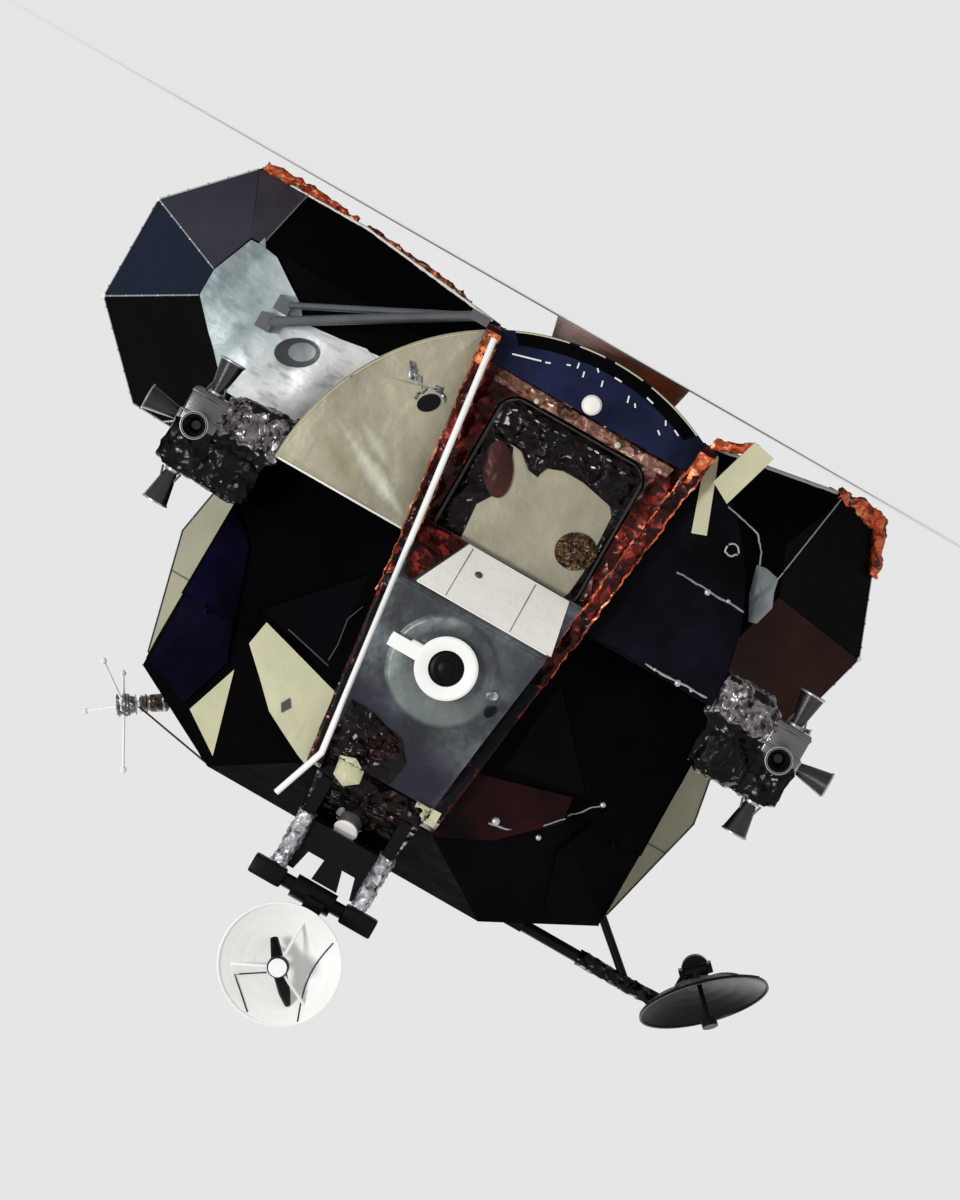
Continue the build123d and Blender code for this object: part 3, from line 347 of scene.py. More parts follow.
def shield_sheen_finish():
    """Thin silvered sheet of the port bay: clouded blue grey with a painted sheen that turns white towards
    the cabin, and painted shade in its folds.
    """
    finish = Finish("shield_silver_painted_sheen")
    across, _, height = finish.axes()
    clouds = finish.noise(2.4, 4.0)
    painted_folds = finish.noise(7.0, 3.0, finish.stretched((1.0, 1.0, 2.2)))
    # Painted sheen: the share that runs the tone from blue grey to white grows towards the cabin
    share = (1.62 - across) * 0.8 + clouds * 0.9 + (height - 0.8) * 0.3 + 0.04
    stops = [(0.18, (0.22, 0.27, 0.28)), (0.36, (0.44, 0.52, 0.52)), (0.52, (0.64, 0.72, 0.72)),
             (0.74, (0.98, 0.98, 0.98))]
    # The darker grey in the folds is painted shade
    tone = finish.mix(painted_folds.smooth(0.5, 0.7) * 0.5, finish.ramp(share, stops), (0.13, 0.16, 0.17))
    return finish.set(Base_Color=tone, Metallic=0.1, Roughness=clouds * 0.2 + 0.32,
                      Normal=finish.bump(clouds * 0.7 + painted_folds * 0.3, 0.05))


def hatch_finish():
    """Hatch: nearly black crinkled foil outside, pale primer on the side that faces the cabin."""
    finish = Finish("hatch_skin")
    _, facing_y, _ = finish.facing()
    _, cells = finish.cells(30.0)
    clouds = finish.noise(6.0)
    outside = finish.mix(cells.smooth(0.5, 0.9), (0.003, 0.002, 0.002), (0.020, 0.006, 0.005))
    tone = finish.mix(facing_y > 0.5, outside, (0.30, 0.32, 0.24))
    return finish.set(Base_Color=tone, Roughness=clouds * 0.2 + 0.3,
                      Normal=finish.bump(cells * 0.4 + clouds, 0.01))


def panelled_finish(name, colour, seams, second):
    """Thin sheet with dark seam lines at set places along each axis; what faces starboard has a second
    tone."""
    finish = Finish(name)
    place = finish.axes()
    clouds = finish.noise(2.0, 4.0)
    fine = finish.noise(30.0)
    base = finish.mix(finish.facing()[0] < -0.3, colour, second)
    tone = finish.mix(clouds.smooth(0.3, 0.75) * 0.4, base, shade(colour, 0.6))
    lines = [1.0 - (place[axis] - spot).absolute().smooth(0.002, 0.007)
             for axis, spots in seams.items() for spot in spots]
    line = lines[0]
    for other in lines[1:]:
        line = line.math("MAXIMUM", line, other)
    tone = finish.mix(line * 0.8, tone, shade(colour, 0.12))
    dent = finish.noise(2.7, 2.0) + fine * 0.06 - line * 0.12
    return finish.set(Base_Color=tone, Roughness=clouds * 0.25 + 0.38, Normal=finish.bump(dent, 0.03))


def nose_finish(colour):
    """Bare grey sheet, cloudy, darker towards the top, with a paler round swelling about the light, whose
    port rim has a painted highlight.
    """
    finish = Finish("nose_sheet")
    across, _, height = finish.axes()
    clouds = finish.noise(2.9, 4.0)
    fine = finish.noise(34.0)
    stops = [(0.42, shade(colour, 0.12)), (0.51, shade(colour, 0.36)), (0.60, shade(colour, 0.8)),
             (0.70, shade(colour, 2.0))]
    tone = finish.ramp(clouds + fine * 0.12, stops)
    band = 1.0 - (height + clouds * 0.2 - 1.70).absolute().smooth(0.06, 0.15)
    tone = finish.mix(band * 0.85, tone, shade(colour, 0.20))
    # Offsets from the swelling's middle at x -0.005 and z 1.775; it is about 0.27 m in radius
    beside, above = across + 0.005, height - 1.775
    distance = (beside * beside + above * above).root()
    inside = 1.0 - distance.smooth(0.255, 0.285)
    rim = distance.smooth(0.19, 0.26) * inside * across.smooth(-0.05, 0.16)
    tone = finish.mix(inside * above.smooth(-0.05, 0.2) * 0.6, tone, (0.20, 0.235, 0.215))
    # Painted highlight: the swelling's rim is lighter on its port side, where light catches its edge
    tone = finish.mix(rim * clouds.smooth(0.35, 0.6) * 0.8, tone, (0.42, 0.48, 0.46))
    top = (height + clouds * 0.3 + across * 0.3).smooth(2.10, 2.36)
    tone = finish.mix(top, tone, (0.006, 0.005, 0.017))
    dent = finish.noise(2.7, 2.0) * 0.8 + fine * 0.05 + finish.noise(9.0, 2.0) * 0.25 + inside * 0.4
    return finish.set(Base_Color=tone, Metallic=0.3, Roughness=clouds * 0.2 + fine * 0.08 + 0.24,
                      Normal=finish.bump(dent, 0.05))


def nozzle_finish():
    """Ablative brown skin of the nozzle: dull wraps, paler and greyer to port, pale rim line."""
    finish = Finish("nozzle_skin")
    across, _, height = finish.axes()
    wraps = finish.noise(9.0, 4.0, finish.stretched((1.0, 1.0, 9.0)))
    tone = finish.mix(across.smooth(-0.25, 0.3), (0.75, 0.16, 0.05), (0.50, 0.36, 0.32))
    tone = finish.mix(wraps.smooth(0.42, 0.7) * 0.4, tone, (0.24, 0.09, 0.05))
    tone = finish.mix(1.0 - height.smooth(0.006, 0.014), tone, (0.50, 0.42, 0.34))
    return finish.set(Base_Color=tone, Roughness=wraps * 0.3 + 0.4, Normal=finish.bump(wraps, 0.012, 0.6))


def glass_finish():
    """Dark window glass with a faint warm coat."""
    finish = Finish("window_glass")
    clouds = finish.noise(3.0, 2.0)
    tone = finish.mix(clouds, (0.0008, 0.0008, 0.0012), (0.0020, 0.0016, 0.0035))
    return finish.set(Base_Color=tone, Specular_IOR_Level=0.03, Roughness=clouds * 0.06 + 0.05,
                      Coat_Weight=clouds * 0.02)


def make_finishes():
    """Every finish by name."""
    here = look()
    cream, pale, black, slate, navy, grey, copper, red, silver = (tuple(colour) for colour in (
        here.cream, here.pale_cream, here.black, here.slate, here.navy, here.nose_grey, here.copper,
        here.dark_red, here.silver))
    mid_seams = {1: [-0.45, 0.0, 0.45], 2: [0.9, 1.57, 2.1]}
    aft_seams = {1: [1.05, 1.5], 2: [0.62, 1.35, 2.08]}
    # Painted folds of the port front: two ends (x, z), half width, colour. Pale bands are painted highlights
    # on creases, olive ones painted shade beside them; the last is a dark seam.
    cream_fold_light_and_shade = [((1.13, 1.04), (0.72, 1.27), 0.080, (0.28, 0.25, 0.14)),
                   ((1.00, 0.94), (0.62, 1.13), 0.065, (0.25, 0.235, 0.15)),
                   ((1.07, 0.97), (0.50, 1.25), 0.058, (0.60, 0.62, 0.49)),
                   ((0.96, 0.92), (0.70, 1.06), 0.062, (0.50, 0.51, 0.40)),
                   ((1.03, 0.70), (0.60, 0.585), 0.017, (0.10, 0.085, 0.060))]
    made = {
        "lens": glass_finish(),
        "facets": facet_light_finish("bay_facets_painted_light", black, slate),
        "side": panelled_finish("side_sheet", (0.52, 0.505, 0.35), mid_seams, (0.105, 0.070, 0.058)),
        "aft": panelled_finish("aft_sheet", (0.15, 0.145, 0.12), aft_seams, (0.11, 0.10, 0.088)),
        "grey": nose_finish(grey),
        "shield": shield_sheen_finish(),
        "hatch": hatch_finish(),
        "nozzle": nozzle_finish(),
        "metal": metal_finish("satin_metal", (0.42, 0.43, 0.44), 0.34),
        "dark_metal": metal_finish("dark_metal", (0.07, 0.07, 0.075), 0.38, 0.6),
        "strut": metal_finish("strut_metal", (0.12, 0.13, 0.14), 0.3, 0.6),
        "cluster": metal_finish("cluster_metal", (0.15, 0.145, 0.15), 0.22, 0.9),
        "bell": metal_finish("bell_metal", (0.045, 0.042, 0.045), 0.24, 0.85),
    }
    cream_look = {"metallic": 0.15, "dents": 0.005, "grime": 0.15}
    dark_look = {"dents": 0.003, "mottle": 0.9, "grime": 0.0}
    sheets = [
        ("black", "black_shield", black, 0.42, {"dents": 0.003, "mottle": 0.4, "grime": 0.0, "gloss": 0.01}),
        ("satin_black", "satin_black_paint", (0.0035, 0.0035, 0.005), 0.36, {"dents": 0.001, "gloss": 0.08}),
        ("cream", "cream_sheet", cream, 0.42, {**cream_look, "mottle": 0.16}),
        ("creased_cream", "creased_cream_sheet", cream, 0.42, {**cream_look, "mottle": 0.22,
                                                               "painted_folds": cream_fold_light_and_shade}),
        ("pale_cream", "pale_cream_sheet", pale, 0.5, {"dents": 0.003, "mottle": 0.08, "grime": 0.15}),
        ("navy", "navy_sheet", navy, 0.3, {**dark_look, "gloss": 0.06}),
        ("violet", "violet_black_sheet", (0.0016, 0.0011, 0.0075), 0.32, {**dark_look, "mottle": 1.0,
                                                                         "gloss": 0.02}),
        # A dark sheet that paints shade: the starboard twins of the lit cream and white front pieces
        ("starboard_shade", "starboard_shade_sheet", (0.0026, 0.0019, 0.0046), 0.33, {**dark_look, "dents": 0.004,
                                                                       "gloss": 0.04}),
        ("slate", "slate_sheet", slate, 0.42, {"dents": 0.003, "mottle": 0.2, "gloss": 0.08}),
        ("rust", "rust_sheet", (0.050, 0.012, 0.011), 0.4, {"metallic": 0.2, "dents": 0.006, "mottle": 0.7,
                                                            "gloss": 0.2}),
        ("bright_white", "bright_white_sheet", (0.93, 0.90, 0.84), 0.5, {"dents": 0.003, "mottle": 0.04,
                                                                        "grime": 0.2}),
        ("white", "white_paint", (0.91, 0.91, 0.88), 0.45, {"dents": 0.001, "mottle": 0.05, "grime": 0.12}),
        # Painted shade with a faint dark red reflection: the starboard copy of the pale cream brow
        ("brow_shade", "brow_shade_sheet", (0.010, 0.0015, 0.002), 0.3, {**dark_look, "gloss": 0.06}),
        ("brown", "brown_sheet", (0.024, 0.0072, 0.0046), 0.45, {"dents": 0.003, "mottle": 0.3,
                                                                 "grime": 0.1, "gloss": 0.05}),
        ("silver_sheet", "silver_sheet", (0.27, 0.30, 0.31), 0.4, {"metallic": 0.3, "dents": 0.004,
                                                                  "mottle": 0.35, "grime": 0.3}),
    ]
    for key, name, colour, roughness, how in sheets:
        made[key] = sheet_finish(name, colour, roughness, **how)
    foils = [
        ("silver", "silver_foil", shade(silver, 0.16), shade(silver, 0.6), shade(silver, 1.3), {}),
        ("quad_foil", "quad_foil", (0.016, 0.012, 0.014), (0.20, 0.18, 0.19), (0.88, 0.86, 0.86),
         {"metallic": 0.6, "roughness": 0.24, "grain": 9.0}),
        ("dark_foil", "dark_foil", (0.0015, 0.0015, 0.002), (0.003, 0.003, 0.004), (0.012, 0.009, 0.012),
         {"metallic": 0.1, "roughness": 0.2, "grain": 8.0, "gloss": 0.12, "painted_glints": (0.16, 0.14, 0.16)}),
        ("copper", "copper_foil", (0.04, 0.004, 0.003), shade(copper, 0.6), shade(copper, 1.7),
         {"grain": 9.0}),
        ("dull_copper", "dull_copper_foil", (0.05, 0.018, 0.012), (0.24, 0.11, 0.075), (0.55, 0.36, 0.27),
         {"metallic": 0.3, "grain": 9.0}),
        ("orange", "orange_foil", (0.10, 0.008, 0.004), (0.60, 0.10, 0.03), (0.95, 0.42, 0.20),
         {"grain": 9.0}),
        ("red_foil", "dark_red_foil", (0.004, 0.0008, 0.0008), shade(red, 0.30), (0.26, 0.025, 0.014),
         {"metallic": 0.3, "roughness": 0.24, "grain": 7.0, "gloss": 0.2}),
        ("maroon_foil", "maroon_foil", (0.0015, 0.0008, 0.0010), (0.004, 0.0015, 0.0018),
         (0.035, 0.010, 0.010), {"metallic": 0.1, "roughness": 0.2, "grain": 8.0, "gloss": 0.15,
                                 "painted_glints": (0.42, 0.30, 0.30)}),
        ("brown_foil", "brown_foil", (0.008, 0.003, 0.002), (0.06, 0.028, 0.008), (0.30, 0.20, 0.07),
         {"metallic": 0.3, "grain": 16.0}),
    ]
    for key, name, dark, middle, light, how in foils:
        made[key] = foil_finish(name, dark, middle, light, **how)
    return made


# Every finish by name, once made
finishes = {}


# Shapes: each is a pair of vertices and a list of face arrays

def lattice(points, around=False, ring=False, caps=False):
    """Grid of points (rows, columns, 3) as quads. around joins the last column to the first and
    ring the last row to the first; caps closes the first and last row by fans to their middle."""
    rows, columns = points.shape[:2]
    vertices = points.reshape(-1, 3)
    row = np.arange(rows if ring else rows - 1)[:, None]
    column = np.arange(columns if around else columns - 1)[None, :]
    below = row * columns
    above = (row + 1) % rows * columns
    after = (column + 1) % columns
    quads = np.stack([below + column, below + after, above + after, above + column], -1).reshape(-1, 4)
    faces = [quads]
    if caps:
        spots = np.arange(columns)
        following = (spots + 1) % columns
        last = (rows - 1) * columns
        low, high = len(vertices), len(vertices) + 1
        vertices = np.vstack([vertices, points[0].mean(0), points[-1].mean(0)])
        faces.append(np.stack([following, spots, np.full(columns, low)], -1))
        faces.append(np.stack([last + spots, last + following, np.full(columns, high)], -1))
    return outward((vertices, faces))


def outward(shape):
    """The shape with its faces turned outward, by the sign of its volume, a sum over its triangles."""
    vertices, faces = shape
    volume = 0.0
    for group in faces:
        corners = vertices[group]
        for k in range(1, group.shape[1] - 1):
            volume += np.einsum("ij,ij->", corners[:, 0], np.cross(corners[:, k], corners[:, k + 1]))
    if volume < 0:
        faces = [group[:, ::-1] for group in faces]
    return vertices, faces


def joined(shapes):
    """Several shapes as one."""
    vertices, faces, count = [], [], 0
    for points, groups in shapes:
        vertices.append(points)
        faces.extend(group + count for group in groups)
        count += len(points)
    return np.vstack(vertices), faces


def dress(name, shapes, finish, body="stage"):
    """A piece made of shapes, with its mesh at the origin, riding on a body and in its finish's slot."""
    vertices, faces = joined(shapes)
    mesh = bpy.data.meshes.new(name)
    mesh.from_pydata(vertices.tolist(), [], [face for group in faces for face in group.tolist()])
    mesh.polygons.foreach_set("use_smooth", np.ones(len(mesh.polygons), bool))
    mesh.set_sharp_from_angle(angle=radians(35.0))
    mesh.materials.append(finishes[finish])
    mesh.update()
    piece = bpy.data.objects.new(name, mesh)
    bpy.context.scene.collection.objects.link(piece)
    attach(piece, body)


def unit(vectors):
    """Vectors of length one."""
    return vectors / np.linalg.norm(vectors, axis=-1, keepdims=True)


def basis(axis):
    """Two directions across an axis, or arrays of them across arrays of axes."""
    axis = unit(np.asarray(axis, float))
    helper = np.where(np.abs(axis[..., 2:3]) < 0.9, z_axis, x_axis)
    first = unit(np.cross(helper, axis))
    return first, np.cross(axis, first)


def circle(first, second, sides):
    """Points of a circle round the origin, by cosine along first and sine along second."""
    turn = np.linspace(0, 2 * pi, sides, endpoint=False)[:, None]
    return first[..., None, :] * np.cos(turn) + second[..., None, :] * np.sin(turn)


def tube(path, radius, sides=6):
    """Circle carried along a path: each ring lies across the path's direction, ends closed by caps."""
    path = np.asarray(path, float)
    rings = circle(*basis(np.gradient(path, axis=0)), sides)
    reach = np.broadcast_to(np.asarray(radius, float), len(path))[:, None, None]
    return lattice(path[:, None] + rings * reach, around=True, caps=True)


def turned(profile, origin, axis, sides=32, ring=False):
    """Profile (radius, distance) turned about an axis: point = origin + distance * axis + radius
    * circle. A ring's profile closes on itself, any other is capped."""
    profile = np.asarray(profile, float)
    axis = unit(np.asarray(axis, float))
    round_axis = circle(*basis(axis), sides)
    reach, distance = profile[:, 0, None, None], profile[:, 1, None, None]
    points = np.asarray(origin, float) + distance * axis + reach * round_axis
    return lattice(points, around=True, ring=ring, caps=not ring)


def rounded_box(low, high, bevel, steps=3):
    """Box with rounded edges: a rounded rectangle carried up, drawn in by a quarter circle at both ends."""
    low, high = np.minimum(low, high), np.maximum(low, high)
    middle, half = (low + high) / 2, (high - low) / 2
    bevel = min(bevel, half.min() * 0.98)
    quarter = np.linspace(0, pi / 2, steps + 1)
    corner_x = np.array([1, -1, -1, 1])[:, None]
    corner_y = np.array([1, 1, -1, -1])[:, None]
    turn = np.arange(4)[:, None] * pi / 2 + quarter[None, :]
    rise, inset = bevel * (1 - np.sin(quarter)), bevel * (1 - np.cos(quarter))
    lift = np.concatenate([-half[2] + rise, half[2] - rise])
    order = np.argsort(lift, kind="stable")
    lift, inset = lift[order][:, None], np.concatenate([inset, inset])[order][:, None]
    x = (corner_x * (half[0] - bevel) + bevel * np.cos(turn)).reshape(1, -1)
    y = (corner_y * (half[1] - bevel) + bevel * np.sin(turn)).reshape(1, -1)
    scale_x = (np.abs(x) - inset) / np.abs(x)
    scale_y = (np.abs(y) - inset) / np.abs(y)
    points = np.stack([x * scale_x, y * scale_y, np.broadcast_to(lift, (len(lift), x.shape[1]))], -1)
    return lattice(points + middle, around=True, caps=True)


def creases(points, size, seed):
    """Crumple height about -1 to 1: triangle waves along random directions, bent by slower sine
    waves, in three sizes that halve each time."""
    rng = np.random.default_rng(seed)
    height = np.zeros(points.shape[:-1])
    for octave in range(3):
        scale = size / 2**octave
        for _ in range(3):
            way = unit(rng.normal(size=3))
            bend = unit(rng.normal(size=3))
            phase = rng.uniform(0, 1)
            wave = points @ way / scale + 0.4 * np.sin(points @ bend * 2.6 / scale + 6 * phase) + phase
            height += (4 * np.abs(wave - np.floor(wave + 0.5)) - 1) * 0.55**octave
    return height / 3.2


def repeated(points, rings, sides):
    """Faces for every copy (copies, vertices, 3) of a template: quads between its rings, which come first,
    and fans from its first and last ring to its last two vertices."""
    spots = np.arange(sides)
    after = (spots + 1) % sides
    last = (rings - 1) * sides
    low, high = rings * sides, rings * sides + 1
    quads = np.vstack([np.stack([spots, after, sides + after, sides + spots], -1) + k * sides
                       for k in range(rings - 1)])
    fans = np.vstack([np.stack([after, spots, np.full(sides, low)], -1),
                      np.stack([last + spots, last + after, np.full(sides, high)], -1)])
    shift = (np.arange(len(points)) * points.shape[1])[:, None, None]
    return points.reshape(-1, 3), [(quads + shift).reshape(-1, 4), (fans + shift).reshape(-1, 3)]


def rivets(places, normals, radius, sides=6):
    """Low domes: rings of a template turned to each normal and set at each place, all at once."""
    places = np.atleast_2d(places)
    normals = unit(np.broadcast_to(np.asarray(normals, float), places.shape))
    first, second = basis(normals)
    rings = np.array([(1.0, -0.3), (1.0, 0.15), (0.62, 0.5)]) * radius
    flat = np.concatenate([circle(x_axis, y_axis, sides) * reach + z_axis * rise for reach, rise in rings])
    local = np.vstack([flat, [0, 0, -0.3 * radius], [0, 0, 0.62 * radius]])
    points = (places[:, None] + local[None, :, :1] * first[:, None] + local[None, :, 1:2] * second[:, None]
              + local[None, :, 2:] * normals[:, None])
    return repeated(points, len(rings), sides)


# Reading the construction

def triangles_of(names):
    """All triangles of some CAD nodes as an array (count, 3, 3)."""
    found = []
    for name in names:
        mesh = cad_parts[name].data
        mesh.calc_loop_triangles()
        corners = np.zeros(len(mesh.vertices) * 3)
        mesh.vertices.foreach_get("co", corners)
        index = np.zeros(len(mesh.loop_triangles) * 3, int)
        mesh.loop_triangles.foreach_get("vertices", index)
        found.append(corners.reshape(-1, 3)[index].reshape(-1, 3, 3))
    return np.concatenate(found)


def cast(names, view, points, batch=2000):
    """Height towards the viewer of the outermost surface of some nodes over flat points, by the
    barycentric test of a batch of points in every triangle; not a number where there is none."""
    across, up, toward = views[view]
    triangles = triangles_of(names)
    flat = np.stack([triangles @ across, triangles @ up], -1)
    height = triangles @ toward
    a, b, c = flat[:, 0], flat[:, 1], flat[:, 2]
    area = (b[:, 0] - a[:, 0]) * (c[:, 1] - a[:, 1]) - (c[:, 0] - a[:, 0]) * (b[:, 1] - a[:, 1])
    good = np.abs(area) > 1e-9
    a, b, c, area, height = a[good], b[good], c[good], area[good], height[good]
    result = np.full(len(points), np.nan)
    slack = 1e-6
    for start in range(0, len(points), batch):
        p = points[start:start + batch, None]
        v = ((p[..., 0] - a[:, 0]) * (c[:, 1] - a[:, 1]) - (c[:, 0] - a[:, 0]) * (p[..., 1] - a[:, 1])) / area
        w = ((b[:, 0] - a[:, 0]) * (p[..., 1] - a[:, 1]) - (p[..., 0] - a[:, 0]) * (b[:, 1] - a[:, 1])) / area
        inside = (v >= -slack) & (w >= -slack) & (v + w <= 1 + slack)
        found = height[:, 0] * (1 - v - w) + height[:, 1] * v + height[:, 2] * w
        best = np.where(inside, found, -np.inf).max(1)
        result[start:start + batch] = np.where(np.isfinite(best), best, np.nan)
    return result


def spaced(corners, step, closed=True):
    """Points along straight runs between corners, about a step apart, the corners among them."""
    corners = np.asarray(corners, float)
    ends = np.roll(corners, -1, axis=0) if closed else corners[1:]
    starts = corners if closed else corners[:-1]
    runs = [start + (end - start) * np.arange(count)[:, None] / count
            for start, end in zip(starts, ends)
            for count in [max(1, int(np.ceil(np.linalg.norm(end - start) / step)))]]
    return np.vstack(runs if closed else runs + [corners[-1:]])


def skin(outline, view, carriers, thickness=0.006, step=0.05, crumple=0.0, size=0.3, seed=1, middle=None,
         puff=0.0, least=-np.inf):
    """Thin sheet over some nodes, seen in a view: rings from the middle of an outline to its rim, each
    point lifted to the surface behind it plus thickness, crumple and a puff that fades at the rim. Where
    the surface lies deeper than the least height, the sheet spans it at that height."""
    across, up, toward = views[view]
    rim = spaced(outline, step)
    middle = rim.mean(0) if middle is None else np.asarray(middle, float)
    reach = np.linalg.norm(rim - middle, axis=1).mean()
    share = np.linspace(0, 1, max(3, int(reach / step) + 1))[1:]
    share = np.append(share, [1.0])
    flat = middle + (rim - middle)[None] * share[:, None, None]
    height = cast(carriers, view, flat.reshape(-1, 2)).reshape(flat.shape[:2])
    centre = cast(carriers, view, middle[None])[0]
    before = np.full(height.shape[1], np.nanmedian(height) if np.isnan(centre) else centre)
    for k in range(len(share)):
        height[k] = np.where(np.isnan(height[k]), before, height[k])
        before = height[k]
    height = np.maximum(height, least)
    place = flat[..., :1] * across + flat[..., 1:] * up + height[..., None] * toward
    fade = 1 - share**6
    lift = thickness + puff * (1 - share**2)[:, None] * np.ones(len(rim))
    if crumple:
        lift = lift + crumple * (creases(place, size, seed) + 1) * 0.5 * np.maximum(fade, 0.15)[:, None]
    sunk = 0.002
    lift[-1] = -sunk
    top = place + lift[..., None] * toward
    under = place[::-1] - sunk * toward
    return lattice(np.concatenate([top, under[1:]]), around=True, caps=True)


def ridges(names, angle=18.0, shortest=0.05):
    """Outer edges of some nodes where two faces meet at more than an angle: ends and mean normals."""
    triangles = triangles_of(names)
    spots, index = np.unique(np.round(triangles.reshape(-1, 3), 5), axis=0, return_inverse=True)
    index = index.reshape(-1, 3)
    normal = np.cross(triangles[:, 1] - triangles[:, 0], triangles[:, 2] - triangles[:, 0])
    size = np.linalg.norm(normal, axis=1)
    distinct = (index != np.roll(index, 1, axis=1)).all(1)
    good = (size > 1e-10) & distinct
    index, normal = index[good], normal[good] / size[good][:, None]
    centre = spots[index].mean(1)
    edges = np.sort(np.concatenate([index[:, [0, 1]], index[:, [1, 2]], index[:, [2, 0]]]), axis=1)
    owner = np.tile(np.arange(len(index)), 3)
    order = np.lexsort((edges[:, 1], edges[:, 0]))
    edges, owner = edges[order], owner[order]
    pair = np.nonzero((edges[1:] == edges[:-1]).all(1))[0]
    one, other = owner[pair], owner[pair + 1]
    ends = spots[edges[pair]]
    bend = np.einsum("ij,ij->i", normal[one], normal[other])
    convex = np.einsum("ij,ij->i", centre[other] - centre[one], normal[one]) < 0
    length = np.linalg.norm(ends[:, 1] - ends[:, 0], axis=1)
    keep = convex & (bend < cos(radians(angle))) & (length > shortest)
    return ends[keep], unit(normal[one] + normal[other])[keep]


def beads(ends, radius, sides=6):
    """Six-sided strips along many edges at once: two rings across each edge, and a cap at each end."""
    way = unit(ends[:, 1] - ends[:, 0])
    ring = circle(*basis(way), sides) * radius
    cap = way[:, None] * radius * 0.7
    points = np.concatenate([ends[:, :1] + ring, ends[:, 1:] + ring, ends[:, :1] - cap, ends[:, 1:] + cap], 1)
    return repeated(points, 2, sides)


def along(ends, pitch, lift, normals):
    """Places a pitch apart along many edges, lifted along each edge's normal."""
    length = np.linalg.norm(ends[:, 1] - ends[:, 0], axis=1)
    count = np.maximum(1, (length / pitch).astype(int))
    edge = np.repeat(np.arange(len(ends)), count)
    step = np.arange(len(edge)) - np.repeat(np.cumsum(count) - count, count)
    share = (step + 0.5) / count[edge]
    places = ends[edge, 0] + (ends[edge, 1] - ends[edge, 0]) * share[:, None]
    return places + normals[edge] * lift, normals[edge]


def wrap(stations, crumple, size, seed, sides=72, square=4.0, rows=None):
    """Foil round a bar: stations give (x, middle y, half y, middle z, half z), sections between them
    are rounded squares |y|^n + |z|^n = 1, moved outward by the crumple."""
    stations = np.asarray(stations, float)
    row_pitch = 0.012
    rows = rows or max(8, int(abs(stations[-1, 0] - stations[0, 0]) / row_pitch))
    x = np.linspace(stations[0, 0], stations[-1, 0], rows)
    order = np.argsort(stations[:, 0])
    stations = stations[order]
    mid_y, half_y, mid_z, half_z = (np.interp(x, stations[:, 0], stations[:, k]) for k in (1, 2, 3, 4))
    turn = np.linspace(0, 2 * pi, sides, endpoint=False)
    across = np.sign(np.cos(turn)) * np.abs(np.cos(turn)) ** (2 / square)
    rise = np.sign(np.sin(turn)) * np.abs(np.sin(turn)) ** (2 / square)
    points = np.stack([
        np.broadcast_to(x[:, None], (rows, sides)),
        mid_y[:, None] + half_y[:, None] * across,
        mid_z[:, None] + half_z[:, None] * rise], -1)
    way = unit(np.stack([np.zeros_like(across), across, rise], -1))
    points = points + way[None] * (crumple * creases(points, size, seed))[..., None]
    points[..., 0] += crumple * 0.7 * creases(points, size, seed + 9)
    return lattice(points, around=True, caps=True)


def wrap_upright(stations, crumple, size, seed, sides, square, rows=None):
    """The same round an upright bar: stations give (z, middle x, half x, middle y, half y)."""
    vertices, faces = wrap(stations, crumple, size, seed, sides, square, rows)
    return outward((vertices[:, [1, 2, 0]], faces))


def arc(centre, radius, start, end, count):
    """Points on a circle between two angles in degrees."""
    turn = np.radians(np.linspace(start, end, count))
    return np.stack([centre[0] + radius * np.cos(turn), centre[1] + radius * np.sin(turn)], -1)


def ellipse(centre, long, short, degrees, count=32):
    """Points on an ellipse whose long axis is turned by some degrees."""
    turn = np.linspace(0, 2 * pi, count, endpoint=False)
    x, y = long * np.cos(turn), short * np.sin(turn)
    lean = radians(degrees)
    return np.stack([centre[0] + x * cos(lean) - y * sin(lean),
                     centre[1] + x * sin(lean) + y * cos(lean)], -1)


def laid(names, line, lift, step=0.02):
    """A line of the front view laid on the outermost surface of some nodes, lifted towards the viewer."""
    flat = spaced(line, step, closed=False)
    height = cast(names, "front", flat)
    height = np.where(np.isnan(height), np.nanmedian(height), height) + lift
    return np.stack([flat[:, 0], -height, flat[:, 1]], -1)


def laid_spot(names, x, z, lift):
    """One point of the front view laid on the outermost surface of some nodes."""
    return laid(names, [(x, z), (x + 0.001, z)], lift)[0]


def at_depth(flat, y):
    """Points (x, z) of the front view, all at one depth y."""
    flat = np.asarray(flat, float)
    return np.stack([flat[..., 0], np.full(flat.shape[:-1], y), flat[..., 1]], -1)


def wavering(path, reach, size, seed):
    """A path shaken across the view like crumpled tape."""
    shift = np.stack([creases(path, size, seed), 0 * path[:, 0], creases(path, size, seed + 5)], -1)
    return path + reach * shift


def flipped(outline):
    """The same outline on the other side of x = 0."""
    return np.asarray(outline, float) * [-1, 1]


def rectangle(start, end, low, high):
    """Corners of a flat outline, from start to end and from low to high."""
    return [(start, low), (start, high), (end, high), (end, low)]


def lay_sheets(sheets, body="stage"):
    """Sheets of the front view: name, finish, outline (x, z), nodes beneath, and how it lies."""
    for name, finish, outline, carriers, how in sheets:
        dress(name, [skin(outline, "front", carriers, **how)], finish, body)


# Measures read from the construction, in metres

hull_axis_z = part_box("cabin_lower_shell")[1].z
hull_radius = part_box("cabin_lower_shell")[1].x
front_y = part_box("lower_front_panel_port")[0].y
beam_front_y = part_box("front_beam_port")[0].y
light_low, light_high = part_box("tracking_light")
ring_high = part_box("docking_tunnel")[1]
dish_low, dish_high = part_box("radar_dish")

# Thruster quads: corner, sign of x, sign of y, where the foil starts at the hull
quad_corners = [("port_front", 1, -1, 1.225), ("starboard_front", -1, -1, 1.225),
                ("port_aft", 1, 1, 1.11), ("starboard_aft", -1, 1, 1.11)]

